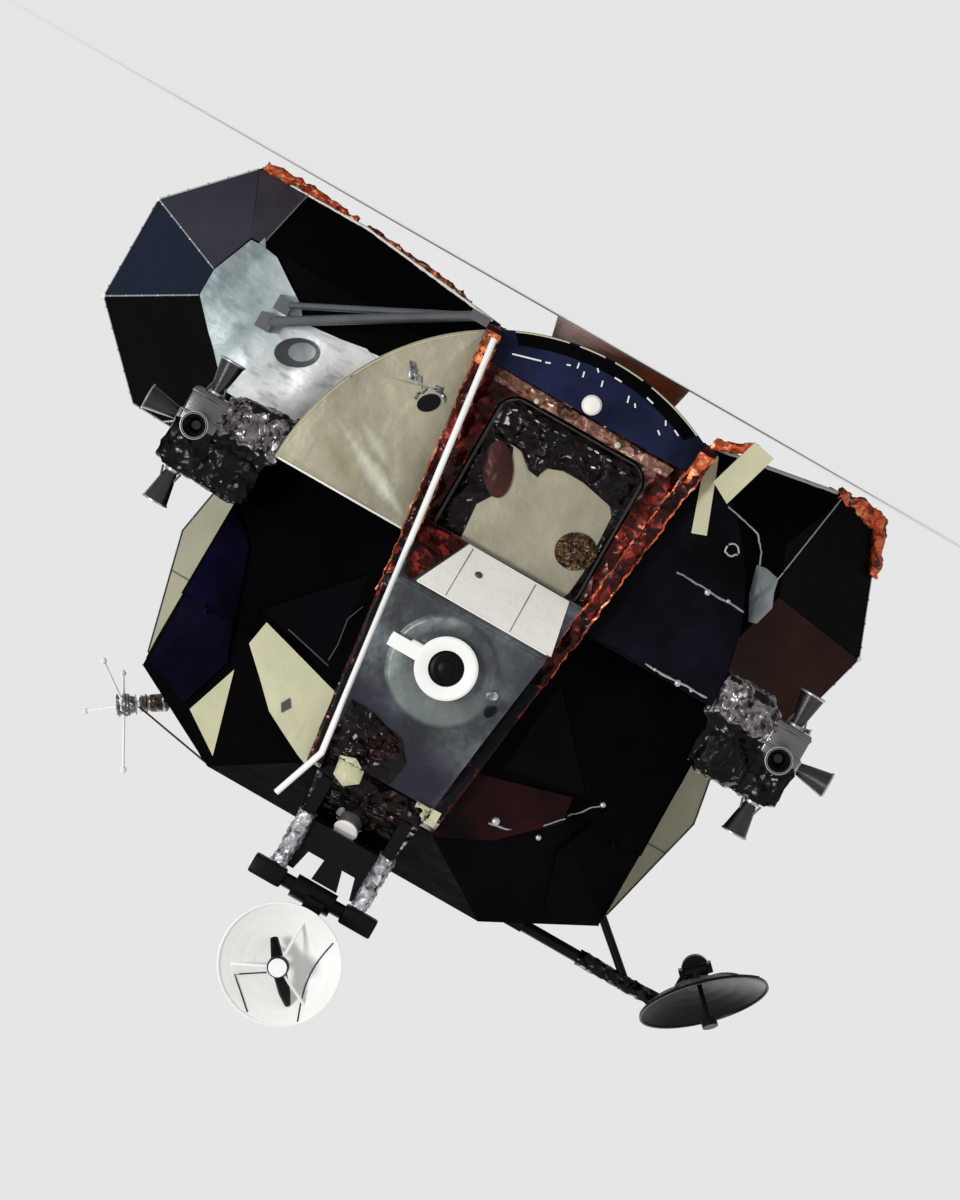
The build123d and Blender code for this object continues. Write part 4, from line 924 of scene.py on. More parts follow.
# Finish of each CAD node, by the start of its name
node_finishes = [
    ("cabin_floor", "dark_metal"),
    ("cabin_", "black"),
    ("overhead_window", "lens"),
    ("lower_front_panel_port", "cream"),
    # The starboard lower panel is dark as painted shade; its port twin is cream
    ("lower_front_panel_starboard", "starboard_shade"),
    ("lower_lip", "navy"),
    ("hatch_surround", "red_foil"),
    ("forward_hatch", "hatch"),
    ("front_beam", "red_foil"),
    ("window_bay", "black"),
    ("window_pane", "lens"),
    ("forehead", "black"),
    ("nose", "grey"),
    ("tracking_light", "white"),
    ("handrail", "white"),
    ("midsection", "side"),
    ("docking_tunnel", "metal"),
    ("docking_drogue", "dark_metal"),
    ("docking_target", "white"),
    ("alignment_telescope", "metal"),
    ("tank_bay_front_shield", "shield"),
    ("tank_bay", "facets"),
    ("diagonal_strut_port", "strut"),
    ("diagonal_strut_starboard", "pale_cream"),
    ("ascent_engine_nozzle", "nozzle"),
    ("ascent_engine", "dark_metal"),
    ("aft_equipment_bay", "aft"),
    ("aft_panels", "white"),
    ("thruster_boom", "dark_foil"),
    ("thrusters", "bell"),
    ("radar_mount", "satin_black"),
    ("radar_yoke", "satin_black"),
    ("radar_dish", "white"),
    # The steerable antenna is dark all over as painted shade: its dish faces away from the light
    ("steerable_antenna", "satin_black"),
    ("rod_antenna", "white"),
]

# Outlines (x, z) of port sheets that starboard has too, mirrored
lower_sheet = [(0.515, 1.283), *arc((0, hull_axis_z), 1.222, -2, -58.5, 12), (0.640, 0.26)]
brow_sheet = [(0.335, 2.53), (0.41, 2.50), (0.51, 2.45), (0.635, 2.385), (0.762, 2.26), (0.885, 2.145),
              (0.862, 2.012), (0.405, 2.140)]
temple_sheet = [(0.935, 2.29), (1.03, 2.585), (1.285, 2.495), (1.292, 1.60), (1.13, 1.75)]
brow_fit = {"thickness": 0.011, "crumple": 0.004, "size": 0.4, "least": 1.757}
temple_fit = {"thickness": 0.026, "crumple": 0.006, "size": 0.4, "step": 0.02}

# Thin sheets on the front: name, finish, outline (x, z), nodes beneath, and how it lies
front_sheets = [
    ("port_lower_sheet", "creased_cream", lower_sheet, ["lower_front_panel_port"],
     {"crumple": 0.016, "size": 0.5, "seed": 4, "middle": (0.85, 0.9), "step": 0.03}),
    # Painted shade: the starboard lower sheet is dark where its port twin is cream
    ("starboard_lower_sheet", "starboard_shade", flipped(lower_sheet), ["lower_front_panel_starboard"],
     {"crumple": 0.010, "size": 0.45, "seed": 7, "middle": (-0.85, 0.9), "step": 0.03}),
    ("port_brow_sheet", "pale_cream", brow_sheet, ["forehead", "window_bay_port"],
     {**brow_fit, "seed": 2}),
    # Painted shade: the starboard brow is the port brow's shape in dark maroon
    ("starboard_brow_sheet", "brow_shade", flipped(brow_sheet), ["forehead", "window_bay_starboard"],
     {**brow_fit, "seed": 3}),
    ("port_brow_triangle", "pale_cream", [(0.775, 2.745), (0.99, 2.60), (0.888, 2.30)], ["forehead"],
     {"crumple": 0.003, "size": 0.3, "seed": 5}),
    ("port_temple_sheet", "violet", temple_sheet, ["forehead", "window_bay_port"],
     {**temple_fit, "seed": 6}),
    ("starboard_temple_sheet", "black", flipped(temple_sheet), ["forehead", "window_bay_starboard"],
     {**temple_fit, "seed": 16}),
    ("starboard_brow_patch", "pale_cream", [(-0.345, 2.39), (-0.345, 2.475), (-0.222, 2.48), (-0.212, 2.395)],
     ["forehead", "nose", "front_beam_starboard"], {"thickness": 0.012, "step": 0.02}),
    ("nose_sheet_lower", "bright_white", [(-0.425, 1.452), (-0.372, 1.185), (0.19, 1.185), (0.325, 1.452)],
     ["nose"], {"thickness": 0.008, "crumple": 0.003, "size": 0.4, "seed": 8, "step": 0.02}),
    ("nose_foil_lower", "red_foil", [(0.350, 1.462), (0.197, 1.183), (0.440, 1.183), (0.415, 1.43)],
     ["nose"], {"thickness": 0.006, "crumple": 0.02, "size": 0.12, "seed": 9, "step": 0.014}),
    ("nose_sheet_upper", "grey", [(-0.412, 1.485), (0.412, 1.485), (0.345, 1.985), (0.300, 2.385),
                                  (-0.300, 2.385), (-0.345, 1.985)],
     ["nose"], {"thickness": 0.006, "crumple": 0.010, "size": 0.45, "seed": 12, "step": 0.025}),
]


class LANDER_OT_finish_construction(bpy.types.Operator):
    """Give every node of the construction its procedural material"""

    bl_idname = "lander.finish_construction"
    bl_label = "Finish the construction"

    def execute(self, context):
        finishes.update(make_finishes())
        for name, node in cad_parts.items():
            finish = next(finish for start, finish in node_finishes if name.startswith(start))
            node.data.materials.clear()
            node.data.materials.append(finishes[finish])
        return {"FINISHED"}


class LANDER_OT_front_sheets(bpy.types.Operator):
    """Lay the thin outer sheets on the front of the cabin"""

    bl_idname = "lander.front_sheets"
    bl_label = "Front sheets"

    def execute(self, context):
        lay_sheets(front_sheets)
        return {"FINISHED"}


class LANDER_OT_seam_beads(bpy.types.Operator):
    """Run beads and rivets along the outer edges of the shields"""

    bl_idname = "lander.seam_beads"
    bl_label = "Seam beads"

    def execute(self, context):
        here = look()
        # Each bay's side, its sign of x, and the middles (x, z) of the edges that stay bare
        bays = [("port", 1, [(1.995, 0.27)]), ("starboard", -1, [(-1.263, 0.253), (-1.5565, 0.717)])]
        for side, sign, bare in bays:
            ends, normals = ridges([f"tank_bay_{side}"], angle=6.0)
            middle = ends.mean(1)
            in_front = (ends[..., 1] < -0.90).all(1)
            left_out = np.any([np.hypot(middle[:, 0] - x, middle[:, 2] - z) < 0.03 for x, z in bare], axis=0)
            outer = (sign * middle[:, 0] > 1.22) & ~in_front & ~left_out
            ends, normals = ends[outer], normals[outer]
            dress(f"bay_beads_{side}", [beads(ends, here.bead_radius)], "metal")
            places, ways = along(ends, here.rivet_pitch, here.bead_radius, normals)
            dress(f"bay_rivets_{side}", [rivets(places, ways, here.rivet_radius)], "metal")
        ends, _ = ridges(["forehead", "window_bay_port", "window_bay_starboard", "cabin_upper_shell"])
        middle = ends.mean(1)
        outer = (np.hypot(middle[:, 0], middle[:, 2] - hull_axis_z) > 1.17) & (middle[:, 1] > -1.2)
        dress("cabin_beads", [beads(ends[outer], here.bead_radius)], "satin_black")
        ends, normals = ridges(["midsection", "aft_equipment_bay"])
        dress("side_beads", [beads(ends, here.bead_radius)], "dark_metal")
        places, ways = along(ends, here.rivet_pitch * 1.5, here.bead_radius, normals)
        dress("side_rivets", [rivets(places, ways, here.rivet_radius * 0.8)], "metal")
        return {"FINISHED"}


class LANDER_OT_front_seams(bpy.types.Operator):
    """Tapes, bright blobs, strips, lines, and torn foil round a black oval that paints the shade of a hole on
    the cabin's front
    """

    bl_idname = "lander.front_seams"
    bl_label = "Front seams"

    def execute(self, context):
        panels = ["lower_front_panel_port", "lower_front_panel_starboard"]
        panels_top = 1.3
        brow = ["forehead", "window_bay_starboard"]
        tapes = [
            ("panel_tape_low", [(-0.755, 0.805), (-1.140, 0.803)], panels, 0.0045, "silver_sheet"),
            ("panel_tape_high", [(-0.845, 1.268), (-1.190, 1.262)], panels, 0.0050, "metal"),
            ("panel_rim_tape", [(-0.809, 0.399), (-0.925, 0.42), (-1.005, 0.446), (-1.065, 0.51),
                                (-1.09, 0.569)], panels, 0.0040, "silver_sheet"),
            ("brow_tape", [(-0.571, 2.324), (-0.667, 2.307), (-0.802, 2.210), (-0.907, 2.092),
                           (-1.016, 1.981)], brow, 0.0035, "silver_sheet"),
        ]
        for k, (name, line, carriers, radius, finish) in enumerate(tapes):
            path = wavering(laid(carriers, line, 0.014), 0.006, 0.12, 130 + k)
            dress(name, [tube(path, radius * (1.1 + 0.7 * creases(path, 0.10, 140 + k)))], finish)
        # Middle (x, z) and radius
        blobs = [(-0.935, 0.812, 0.017), (-1.045, 0.800, 0.011), (-1.030, 1.270, 0.018),
                 (-1.105, 1.268, 0.010), (-0.595, 2.300, 0.022), (-0.817, 2.268, 0.015),
                 (-1.016, 1.981, 0.016), (-0.90, 1.268, 0.009)]
        shapes = [rivets(laid_spot(panels if z < panels_top else brow, x, z, 0.013), (0, -1, 0), radius, 7)
                  for x, z, radius in blobs]
        dress("panel_blobs", shapes, "metal")
        strips = [
            ("front_top_strip_port", [(0.505, 1.284), (1.215, 1.284)], 0.006, "bright_white"),
            # Painted shade: the starboard strip is dark where the port one is white
            ("front_top_strip_starboard", [(-0.505, 1.284), (-1.215, 1.284)], 0.004, "starboard_shade"),
            ("front_rim_strip_port", arc((0, hull_axis_z), 1.219, -2, -57, 60), 0.0035, "pale_cream"),
        ]
        for name, line, radius, finish in strips:
            dress(name, [tube(at_depth(line, front_y - 0.010), radius)], finish)
        ring = ellipse((-0.936, 0.574), 0.036, 0.030, 20, 24)
        path = at_depth(np.vstack([ring, ring[:1]]), front_y - 0.018)
        dress("panel_ring", [tube(wavering(path, 0.008, 0.05, 150), 0.005)], "metal")
        brow_z = 2.11

        def on_bay(line):
            """A line (x, z) on the face that leans back below the brow: y = 0.305 (brow - z) - 1.738, and
            2 cm further out above the brow's lower edge."""
            return [(x, -1.738 + 0.305 * max(0.0, brow_z - z) - (0.02 if z > brow_z else 0.0), z)
                    for x, z in line]

        lines = [
            ("window_frame_lines", "cluster", [[(0.484, 1.697), (0.526, 1.809), (0.505, 1.939),
                                                (0.507, 2.028)], [(0.456, 1.84), (0.433, 2.003)]]),
            ("brow_edge_lines", "strut", [[(0.755, 1.993), (0.411, 2.069)], [(0.411, 2.20), (0.385, 2.47)]]),
        ]
        for name, finish, runs in lines:
            dress(name, [tube(on_bay(run), 0.0038) for run in runs], finish)
        diamond = [(0.579, 2.36), (0.551, 2.315), (0.579, 2.275), (0.604, 2.32)]
        # Painted shade: a black oval laid where a hole's inside would be dark
        hole = ellipse((0.706, 0.686), 0.060, 0.042, 50)
        lay_sheets([("brow_diamond", "dark_metal", diamond, ["forehead"], {"thickness": 0.020, "step": 0.02}),
                    ("panel_hole_shade", "satin_black", hole, panels, {"thickness": 0.022, "step": 0.02})])
        scraps = [[(0.89, 0.553), (0.862, 0.548), (0.838, 0.596), (0.80, 0.59), (0.762, 0.65), (0.80, 0.625),
                   (0.85, 0.63)],
                  [(0.72, 0.595), (0.68, 0.585), (0.67, 0.615), (0.70, 0.625)]]
        shapes = [skin(scrap, "front", panels, 0.020, step=0.008, crumple=0.020, size=0.05, seed=160)
                  for scrap in scraps]
        hem = at_depth(ellipse((0.712, 0.678), 0.075, 0.056, 50)[14:30], front_y - 0.020)
        shapes.append(tube(wavering(hem, 0.012, 0.05, 161), 0.008))
        dress("panel_scraps", shapes, "silver")
        return {"FINISHED"}


class LANDER_OT_nose(bpy.types.Operator):
    """Ring, lens and clamps of the nose's light, seams and hem of its lower sheet, a plug, a black oval that
    paints the shade of a hole, a blob
    """

    bl_idname = "lander.nose"
    bl_label = "Nose"

    def execute(self, context):
        light_x, light_z = -0.013, (light_low.z + light_high.z) / 2
        front = light_low.y
        forward = (0, -1, 0)
        rim = [(0.152, 0.0), (0.156, 0.01), (0.156, 0.03), (0.146, 0.0375), (0.10, 0.0375), (0.089, 0.03),
               (0.087, 0.0)]
        dress("light_ring", [turned(rim, (light_x, front + 0.032, light_z), forward, 64, ring=True)], "white")
        lens = [(0.088, 0.0), (0.086, 0.006), (0.06, 0.012), (0.058, 0.004), (0.04, 0.004), (0.038, 0.016),
                (0.02, 0.021), (0.004, 0.022)]
        dress("light_lens", [turned(lens, (light_x, front + 0.028, light_z), forward, 48)], "satin_black")
        clamps = [((0.12, front + 0.02, 1.705), (0.20, front + 0.10, 1.755)),
                  ((0.19, front + 0.035, 1.725), (0.30, front + 0.11, 1.775))]
        dress("light_bracket_sheet", [rounded_box(low, high, 0.014) for low, high in clamps], "white")
        seams = [[(-0.188, 1.195), (-0.190, 1.445)], [(0.163, 1.195), (0.166, 1.445)]]
        shapes = [tube(laid(["nose"], seam, 0.0085), 0.0030) for seam in seams]
        dress("nose_seams", shapes, "silver_sheet")
        hem = laid(["nose"], [(-0.40, 1.452), (0.32, 1.452)], 0.0085)
        dress("nose_hem", [tube(hem, 0.005)], "bright_white")
        plug = laid_spot(["nose"], 0.076, 1.29, 0.008)
        dress("nose_plug", [rivets(plug, (0, -0.8, -0.6), 0.020, 12)], "dark_metal")
        # Painted shade: a black oval laid where a hole's inside would be dark
        hole = ellipse((-0.303, 1.830), 0.036, 0.022, 70, 20)
        blob = ellipse((-0.272, 1.757), 0.030, 0.022, 20, 20)
        lay_sheets([("nose_hole_shade", "satin_black", hole, ["nose"], {"thickness": 0.018, "step": 0.012}),
                    ("nose_blob", "silver", blob, ["nose"],
                     {"thickness": 0.018, "crumple": 0.02, "size": 0.04, "seed": 17, "step": 0.008})])
        return {"FINISHED"}


class LANDER_OT_hatch(bpy.types.Operator):
    """Foils, cream sheet and glints of the forward hatch, and strip and studs of the recess below it"""

    bl_idname = "lander.hatch"
    bl_label = "Hatch"

    def execute(self, context):
        sheet = [(0.256, 0.66), (0.198, 0.669), (0.12, 0.731), (0.062, 0.74), (0.057, 0.674),
                 (-0.032, 0.644), (-0.14, 0.646), (-0.307, 0.678), (-0.355, 0.742), (-0.372, 1.10),
                 (-0.33, 1.20), (0.24, 1.21), (0.258, 1.0), (0.205, 0.92), (0.170, 0.84), (0.195, 0.75),
                 (0.262, 0.70)]
        low = [(-0.385, 0.72), (-0.31, 0.685), (-0.14, 0.650), (-0.03, 0.650), (0.05, 0.68), (0.07, 0.735),
               (0.115, 0.73), (0.19, 0.665), (0.385, 0.66), (0.385, 0.50), (0.33, 0.455), (-0.33, 0.455),
               (-0.385, 0.50)]
        side = [(0.385, 1.19), (0.245, 1.205), (0.262, 1.0), (0.215, 0.92), (0.182, 0.84), (0.205, 0.75),
                (0.24, 0.67), (0.385, 0.65)]
        edge = [(-0.345, 0.72), (-0.385, 0.70), (-0.388, 1.16), (-0.345, 1.20), (-0.362, 1.05)]
        handle = ellipse((0.252, 0.800), 0.140, 0.074, 118)
        vent = ellipse((-0.277, 0.960), 0.104, 0.094, 30)
        # Name, finish, outline, middle, thickness, crumple, its size, seed, step, puff
        sheets = [
            ("hatch_sheet", "cream", sheet, None, 0.006, 0.010, 0.35, 21, 0.025, 0.0),
            ("hatch_low_foil", "maroon_foil", low, (0.0, 0.55), 0.008, 0.026, 0.14, 23, 0.010, 0.012),
            ("hatch_side_foil", "maroon_foil", side, (0.31, 0.93), 0.008, 0.016, 0.12, 22, 0.012, 0.0),
            ("hatch_edge_foil", "maroon_foil", edge, (-0.370, 0.95), 0.008, 0.012, 0.10, 27, 0.012, 0.0),
            ("hatch_vent_foil", "brown_foil", vent, None, 0.014, 0.024, 0.06, 24, 0.008, 0.006),
            ("hatch_handle_sheet", "rust", handle, None, 0.020, 0.012, 0.20, 25, 0.014, 0.014),
        ]
        for name, finish, outline, middle, thickness, height, size, seed, step, puff in sheets:
            shape = skin(outline, "front", ["forward_hatch"], thickness, step, height, size, seed, middle,
                         puff)
            dress(name, [shape], finish, body="forward_hatch")
        glints = [(0.372, 0.60, 30), (0.340, 0.535, 60), (0.323, 0.507, 20), (0.092, 0.502, 5),
                  (0.055, 0.498, 10), (-0.089, 0.490, 0), (-0.125, 0.487, -8), (-0.196, 0.492, 5),
                  (-0.288, 0.512, 10), (-0.02, 0.575, 0), (-0.15, 0.56, 10), (0.20, 0.50, 0)]
        shapes = []
        for x, z, degrees in glints:
            way = np.array([cos(radians(degrees)), 0, sin(radians(degrees))]) * 0.013
            spot = laid_spot(["forward_hatch"], x, z, 0.034)
            shapes.append(tube([spot - way, spot, spot + way], (0.003, 0.006, 0.003)))
        dress("hatch_glints", shapes, "silver", body="forward_hatch")
        strip = [(-0.495, 0.372), (0.50, 0.362), (0.487, 0.432), (-0.48, 0.428)]
        lay_sheets([("recess_copper_strip", "dull_copper", strip, ["hatch_surround"],
                     {"thickness": 0.02, "crumple": 0.012, "size": 0.12, "seed": 26, "step": 0.012})])
        studs = [(-0.196, 0.408, 0.017), (0.253, 0.418, 0.014)]
        shapes = [rivets((x, front_y - 0.006, z), (0, -1, 0), radius, 10) for x, z, radius in studs]
        dress("recess_studs", shapes, "pale_cream")
        return {"FINISHED"}


class LANDER_OT_beams(bpy.types.Operator):
    """Crinkled foil round the two front beams, copper and dark red below, black above, with painted
    highlights of bright foil along its edges
    """

    bl_idname = "lander.beams"
    bl_label = "Beam foil"

    def execute(self, context):
        def middle(z):
            """A beam's distance from the middle of the craft: x = 0.4555 + 0.125 (1.4 - z)."""
            return 0.4555 + 0.125 * (1.4 - z)

        for side, sign in (("port", 1), ("starboard", -1)):
            port = sign > 0
            # Part, finish, low and high end, crumple
            runs = [
                ("foot", "copper" if port else "orange", 0.232, 0.40, 0.014),
                ("lower", "red_foil", 0.40, 1.30, 0.013),
                ("upper", "dark_foil" if port else "red_foil", 1.30, 1.62, 0.008),
                ("top", "satin_black", 1.62, 2.42, 0.003),
            ]
            for k, (part, finish, low, high, height) in enumerate(runs):
                z = np.linspace(low, high, 8)
                stations = np.stack([z, sign * middle(z), np.full(8, 0.038), np.full(8, beam_front_y + 0.034),
                                     np.full(8, 0.036)], -1)
                seed = k + (30 if port else 35)
                shape = wrap_upright(stations, height, 0.10, seed, 40, 5.0, rows=int((high - low) / 0.010))
                dress(f"beam_foil_{part}_{side}", [shape], finish)
            # Painted highlights: bright copper and orange tubes along each beam's edges, where the foil
            # catches light
            z = np.linspace(0.30, 1.60, 150)
            edges = []
            for k, reach in enumerate((-0.037, 0.037)):
                line = at_depth(np.stack([sign * (middle(z) + reach), z], -1), beam_front_y - 0.003)
                shift = np.stack([creases(line, 0.09, 45 + k), 0.5 * creases(line, 0.07, 47 + k), 0 * z], -1)
                edges.append(tube(line + 0.010 * shift, 0.005 + 0.003 * creases(line, 0.05, 49 + k)))
            dress(f"beam_edge_highlight_foil_{side}", edges, "copper" if port else "orange")
        return {"FINISHED"}


class LANDER_OT_lip(bpy.types.Operator):
    """Pale edge, black band, bright dashes and boss of the navy lip below the hatch"""

    bl_idname = "lander.lip"
    bl_label = "Lip"

    def execute(self, context):
        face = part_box("lower_lip")[0].y
        outer_arc = arc((0, hull_axis_z), hull_radius - 0.006, -114.5, -65.5, 40)
        inner_arc = arc((0, hull_axis_z), hull_radius - 0.072, -113.5, -66.5, 40)
        path = at_depth(outer_arc, face - 0.003)
        runs = [(0, 13), (14, 21), (22, 28), (29, 40)]
        dress("lip_edge", [tube(path[low:high], 0.0042) for low, high in runs], "pale_cream")
        flat = outer_arc + (inner_arc - outer_arc) * np.linspace(0, 1, 5)[:, None, None]
        sheet = at_depth(flat, face - 0.003)
        under = sheet[::-1] + np.array([0, 0.004, 0])
        dress("lip_band", [lattice(np.concatenate([sheet, under]))], "black")
        # Both ends of each dash: x, z, x, z
        dashes = [(0.470, 0.276, 0.330, 0.236), (0.310, 0.232, 0.285, 0.222),
                  (0.165, 0.152, 0.160, 0.180), (0.122, 0.176, 0.116, 0.204),
                  (0.075, 0.130, 0.060, 0.146), (0.022, 0.170, 0.014, 0.200),
                  (-0.02, 0.128, -0.06, 0.130), (-0.125, 0.170, -0.135, 0.204),
                  (-0.168, 0.188, -0.180, 0.206), (-0.205, 0.135, -0.245, 0.145),
                  (-0.340, 0.186, -0.352, 0.208), (-0.330, 0.246, -0.350, 0.262),
                  (-0.40, 0.205, -0.43, 0.220), (0.215, 0.190, 0.195, 0.183)]
        shapes = [tube(at_depth(np.reshape(dash, (2, 2)), face - 0.006), 0.0045) for dash in dashes]
        dress("lip_dashes", shapes, "white")
        boss = [(0.050, 0), (0.050, 0.012), (0.040, 0.024), (0.020, 0.028), (0.004, 0.029)]
        dress("lip_boss", [turned(boss, (0.010, face, 0.300), (0, -1, 0), 28)], "bright_white")
        return {"FINISHED"}


class LANDER_OT_tank_bays(bpy.types.Operator):
    """Sheets, vent, seams and foil skirts of the two tank bays, and the bright tips of their ridges"""

    bl_idname = "lander.tank_bays"
    bl_label = "Tank bays"

    def execute(self, context):
        here = look()
        silver = [(1.845, 0.436), (1.908, 0.438), (1.997, 0.662), (1.998, 0.806), (1.87, 0.944), (1.79, 1.02),
                  (1.68, 1.08), (1.56, 1.09), (1.25, 1.10), (1.17, 1.0), (1.10, 0.874), (1.045, 0.655),
                  (1.132, 0.625), (1.25, 0.645), (1.462, 0.69), (1.529, 0.60), (1.635, 0.53), (1.753, 0.45)]
        wedge = [(1.917, 0.428), (1.85, 0.428), (1.795, 0.105), (2.071, 0.110)]
        brown = [(-1.288, 0.680), (-1.820, 0.766), (-1.697, 1.226), (-1.51, 1.400), (-1.24, 1.19),
                 (-1.205, 0.995)]
        plate = [(-1.109, 0.593), (-1.158, 0.583), (-1.239, 0.599), (-1.254, 0.671), (-1.286, 0.743),
                 (-1.257, 0.849), (-1.215, 0.860), (-1.150, 0.739)]
        shield = ["tank_bay_front_shield"]
        shield_front = -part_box("tank_bay_front_shield")[0].y
        lay_sheets([
            ("port_bay_silver", "shield", silver, ["tank_bay_front_shield", "tank_bay_port"],
             {"crumple": 0.034, "size": 0.65, "seed": 41, "step": 0.02, "middle": (1.6, 0.80),
              "least": shield_front}),
            ("port_bay_vent", "dark_metal", ellipse((1.429, 0.816), 0.112, 0.074, 30), shield,
             {"thickness": 0.044, "puff": -0.010, "step": 0.02}),
            ("port_bay_vent_inside", "silver_sheet", ellipse((1.405, 0.800), 0.070, 0.048, 30), shield,
             {"thickness": 0.046, "puff": -0.006, "step": 0.02}),
            ("port_bay_wedge", "slate", wedge, ["tank_bay_port"], {"thickness": 0.003, "step": 0.03}),
            ("starboard_bay_brown", "brown", brown, ["tank_bay_starboard"],
             {"crumple": 0.006, "size": 0.3, "seed": 42, "step": 0.03}),
            ("starboard_bay_plate", "silver_sheet", plate,
             ["tank_bay_starboard", "lower_front_panel_starboard", "cabin_lower_shell"],
             {"thickness": 0.02, "crumple": 0.014, "size": 0.2, "seed": 43, "step": 0.02}),
        ])
        seams = [("port", [(1.848, 0.428), (1.793, 0.103)]), ("starboard", [(-1.236, 0.60), (-1.328, 0.085)])]
        for side, line in seams:
            path = laid([f"tank_bay_{side}"], line, 0.004)
            dress(f"bay_seam_{side}", [tube(path, here.bead_radius)], "metal")
        tips = [(2.464, -0.356, 1.073), (2.464, -0.356, 0.501), (-1.829, -0.356, 0.762)]
        dress("bay_tips", [rivets(tip, (tip[0], -1.2, 0), 0.015, 8) for tip in tips], "white")
        # Name, finish, stations, crumple
        skirts = [
            ("port_skirt", "orange",
             [(1.50, -0.600, 0.012, 0.086, 0.008), (1.86, -0.600, 0.028, 0.072, 0.024),
              (2.05, -0.600, 0.028, 0.084, 0.030)], 0.016),
            ("port_skirt_edge", "bright_white",
             [(0.66, -0.691, 0.008, 0.189, 0.008), (1.45, -0.601, 0.009, 0.100, 0.008),
              (1.90, -0.604, 0.009, 0.104, 0.007)], 0.003),
            ("port_skirt_tatters", "copper",
             [(0.80, -0.660, 0.010, 0.160, 0.006), (1.05, -0.630, 0.014, 0.125, 0.014),
              (1.45, -0.590, 0.012, 0.086, 0.006)], 0.014),
            ("starboard_skirt", "orange",
             [(-1.60, -0.33, 0.032, 0.120, 0.048), (-1.45, -0.475, 0.034, 0.082, 0.044),
              (-1.30, -0.60, 0.028, 0.084, 0.032)], 0.022),
            ("starboard_skirt_edge", "bright_white",
             [(-1.30, -0.602, 0.009, 0.077, 0.009), (-0.66, -0.70, 0.009, 0.188, 0.009)], 0.003),
            ("starboard_foot_foil", "orange",
             [(-0.79, -1.768, 0.040, 0.098, 0.026), (-0.60, -1.768, 0.040, 0.170, 0.028)], 0.016),
        ]
        for k, (name, finish, stations, height) in enumerate(skirts):
            dress(name, [wrap(stations, height, 0.09, 50 + k, 36, 2.6)], finish)
        rising = [(0.07, -1.560, 0.034, -0.350, 0.050), (0.20, -1.612, 0.040, -0.352, 0.046),
                  (0.36, -1.672, 0.022, -0.354, 0.030)]
        dress("starboard_side_foil", [wrap_upright(rising, 0.020, 0.09, 58, 36, 2.6)], "orange")
        return {"FINISHED"}


class LANDER_OT_quads(bpy.types.Operator):
    """Foil round the thruster booms and their fairings, sheet and rails of the clusters, rims on the bells"""

    bl_idname = "lander.quads"
    bl_label = "Thruster quads"

    def execute(self, context):
        crinkle = look().crinkle
        boom_y, cluster_middle, side_bells_z = 1.56, 1.64, 1.346
        rim = [(0.0665, -0.006), (0.0695, -0.003), (0.0695, 0.003), (0.0665, 0.0035), (0.0585, 0.0035),
               (0.0585, -0.006)]
        flange = [(0.036, -0.186), (0.040, -0.182), (0.040, -0.170), (0.034, -0.165), (0.030, -0.165),
                  (0.028, -0.186)]
        for k, (corner, sx, sy, root) in enumerate(quad_corners):
            signs = [sx, sy, 1, 1, 1]
            low = np.array([(root, boom_y, 0.150, 1.215, 0.120), (1.48, boom_y, 0.150, 1.232, 0.118),
                            (1.56, 1.60, 0.115, 1.255, 0.095)]) * signs
            foil = wrap(low, crinkle * 1.5, 0.11, 60 + k, 84, 3.6, rows=44)
            dress(f"boom_foil_{corner}", [foil], "quad_foil")
            high = np.array([(root + 0.03, boom_y, 0.125, 1.465, 0.115),
                             (root + 0.10, boom_y, 0.145, 1.470, 0.134),
                             (1.66, boom_y, 0.145, 1.468, 0.130), (1.75, 1.58, 0.120, 1.462, 0.105)]) * signs
            foil = wrap(high, crinkle, 0.13, 70 + k, 84, 4.5, rows=50)
            dress(f"fairing_foil_{corner}", [foil], "dark_foil")
            x, y = sx * cluster_middle, sy * cluster_middle
            block = rounded_box((x - 0.099, y - 0.079, 1.176), (x + 0.099, y + 0.079, 1.36), 0.012)
            rails = [rounded_box((x - 0.103, y - 0.083, z), (x + 0.103, y + 0.083, z + 0.018), 0.006)
                     for z in (1.19, 1.30)]
            dress(f"cluster_sheet_{corner}", [block] + rails, "cluster")
            exits = [((x, y, 1.776), (0, 0, 1)), ((x, y, 0.994), (0, 0, -1)),
                     ((x + sx * 0.281, y, side_bells_z), (sx, 0, 0)),
                     ((x, y + sy * 0.261, side_bells_z), (0, sy, 0))]
            shapes = [turned(rim, place, way, 32, ring=True) for place, way in exits]
            shapes += [turned(flange, place, way, 24, ring=True) for place, way in exits]
            dress(f"bell_rims_{corner}", shapes, "metal")
            stays = [[(x + sx * aside, y + sy * 0.02, start), (x + sx * 0.4 * aside, y + sy * 0.01, end)]
                     for start, end in ((1.60, 1.70), (1.18, 1.07)) for aside in (-0.05, 0.05)]
            dress(f"bell_stays_{corner}", [tube(stay, 0.006, 8) for stay in stays], "dark_metal")
        return {"FINISHED"}


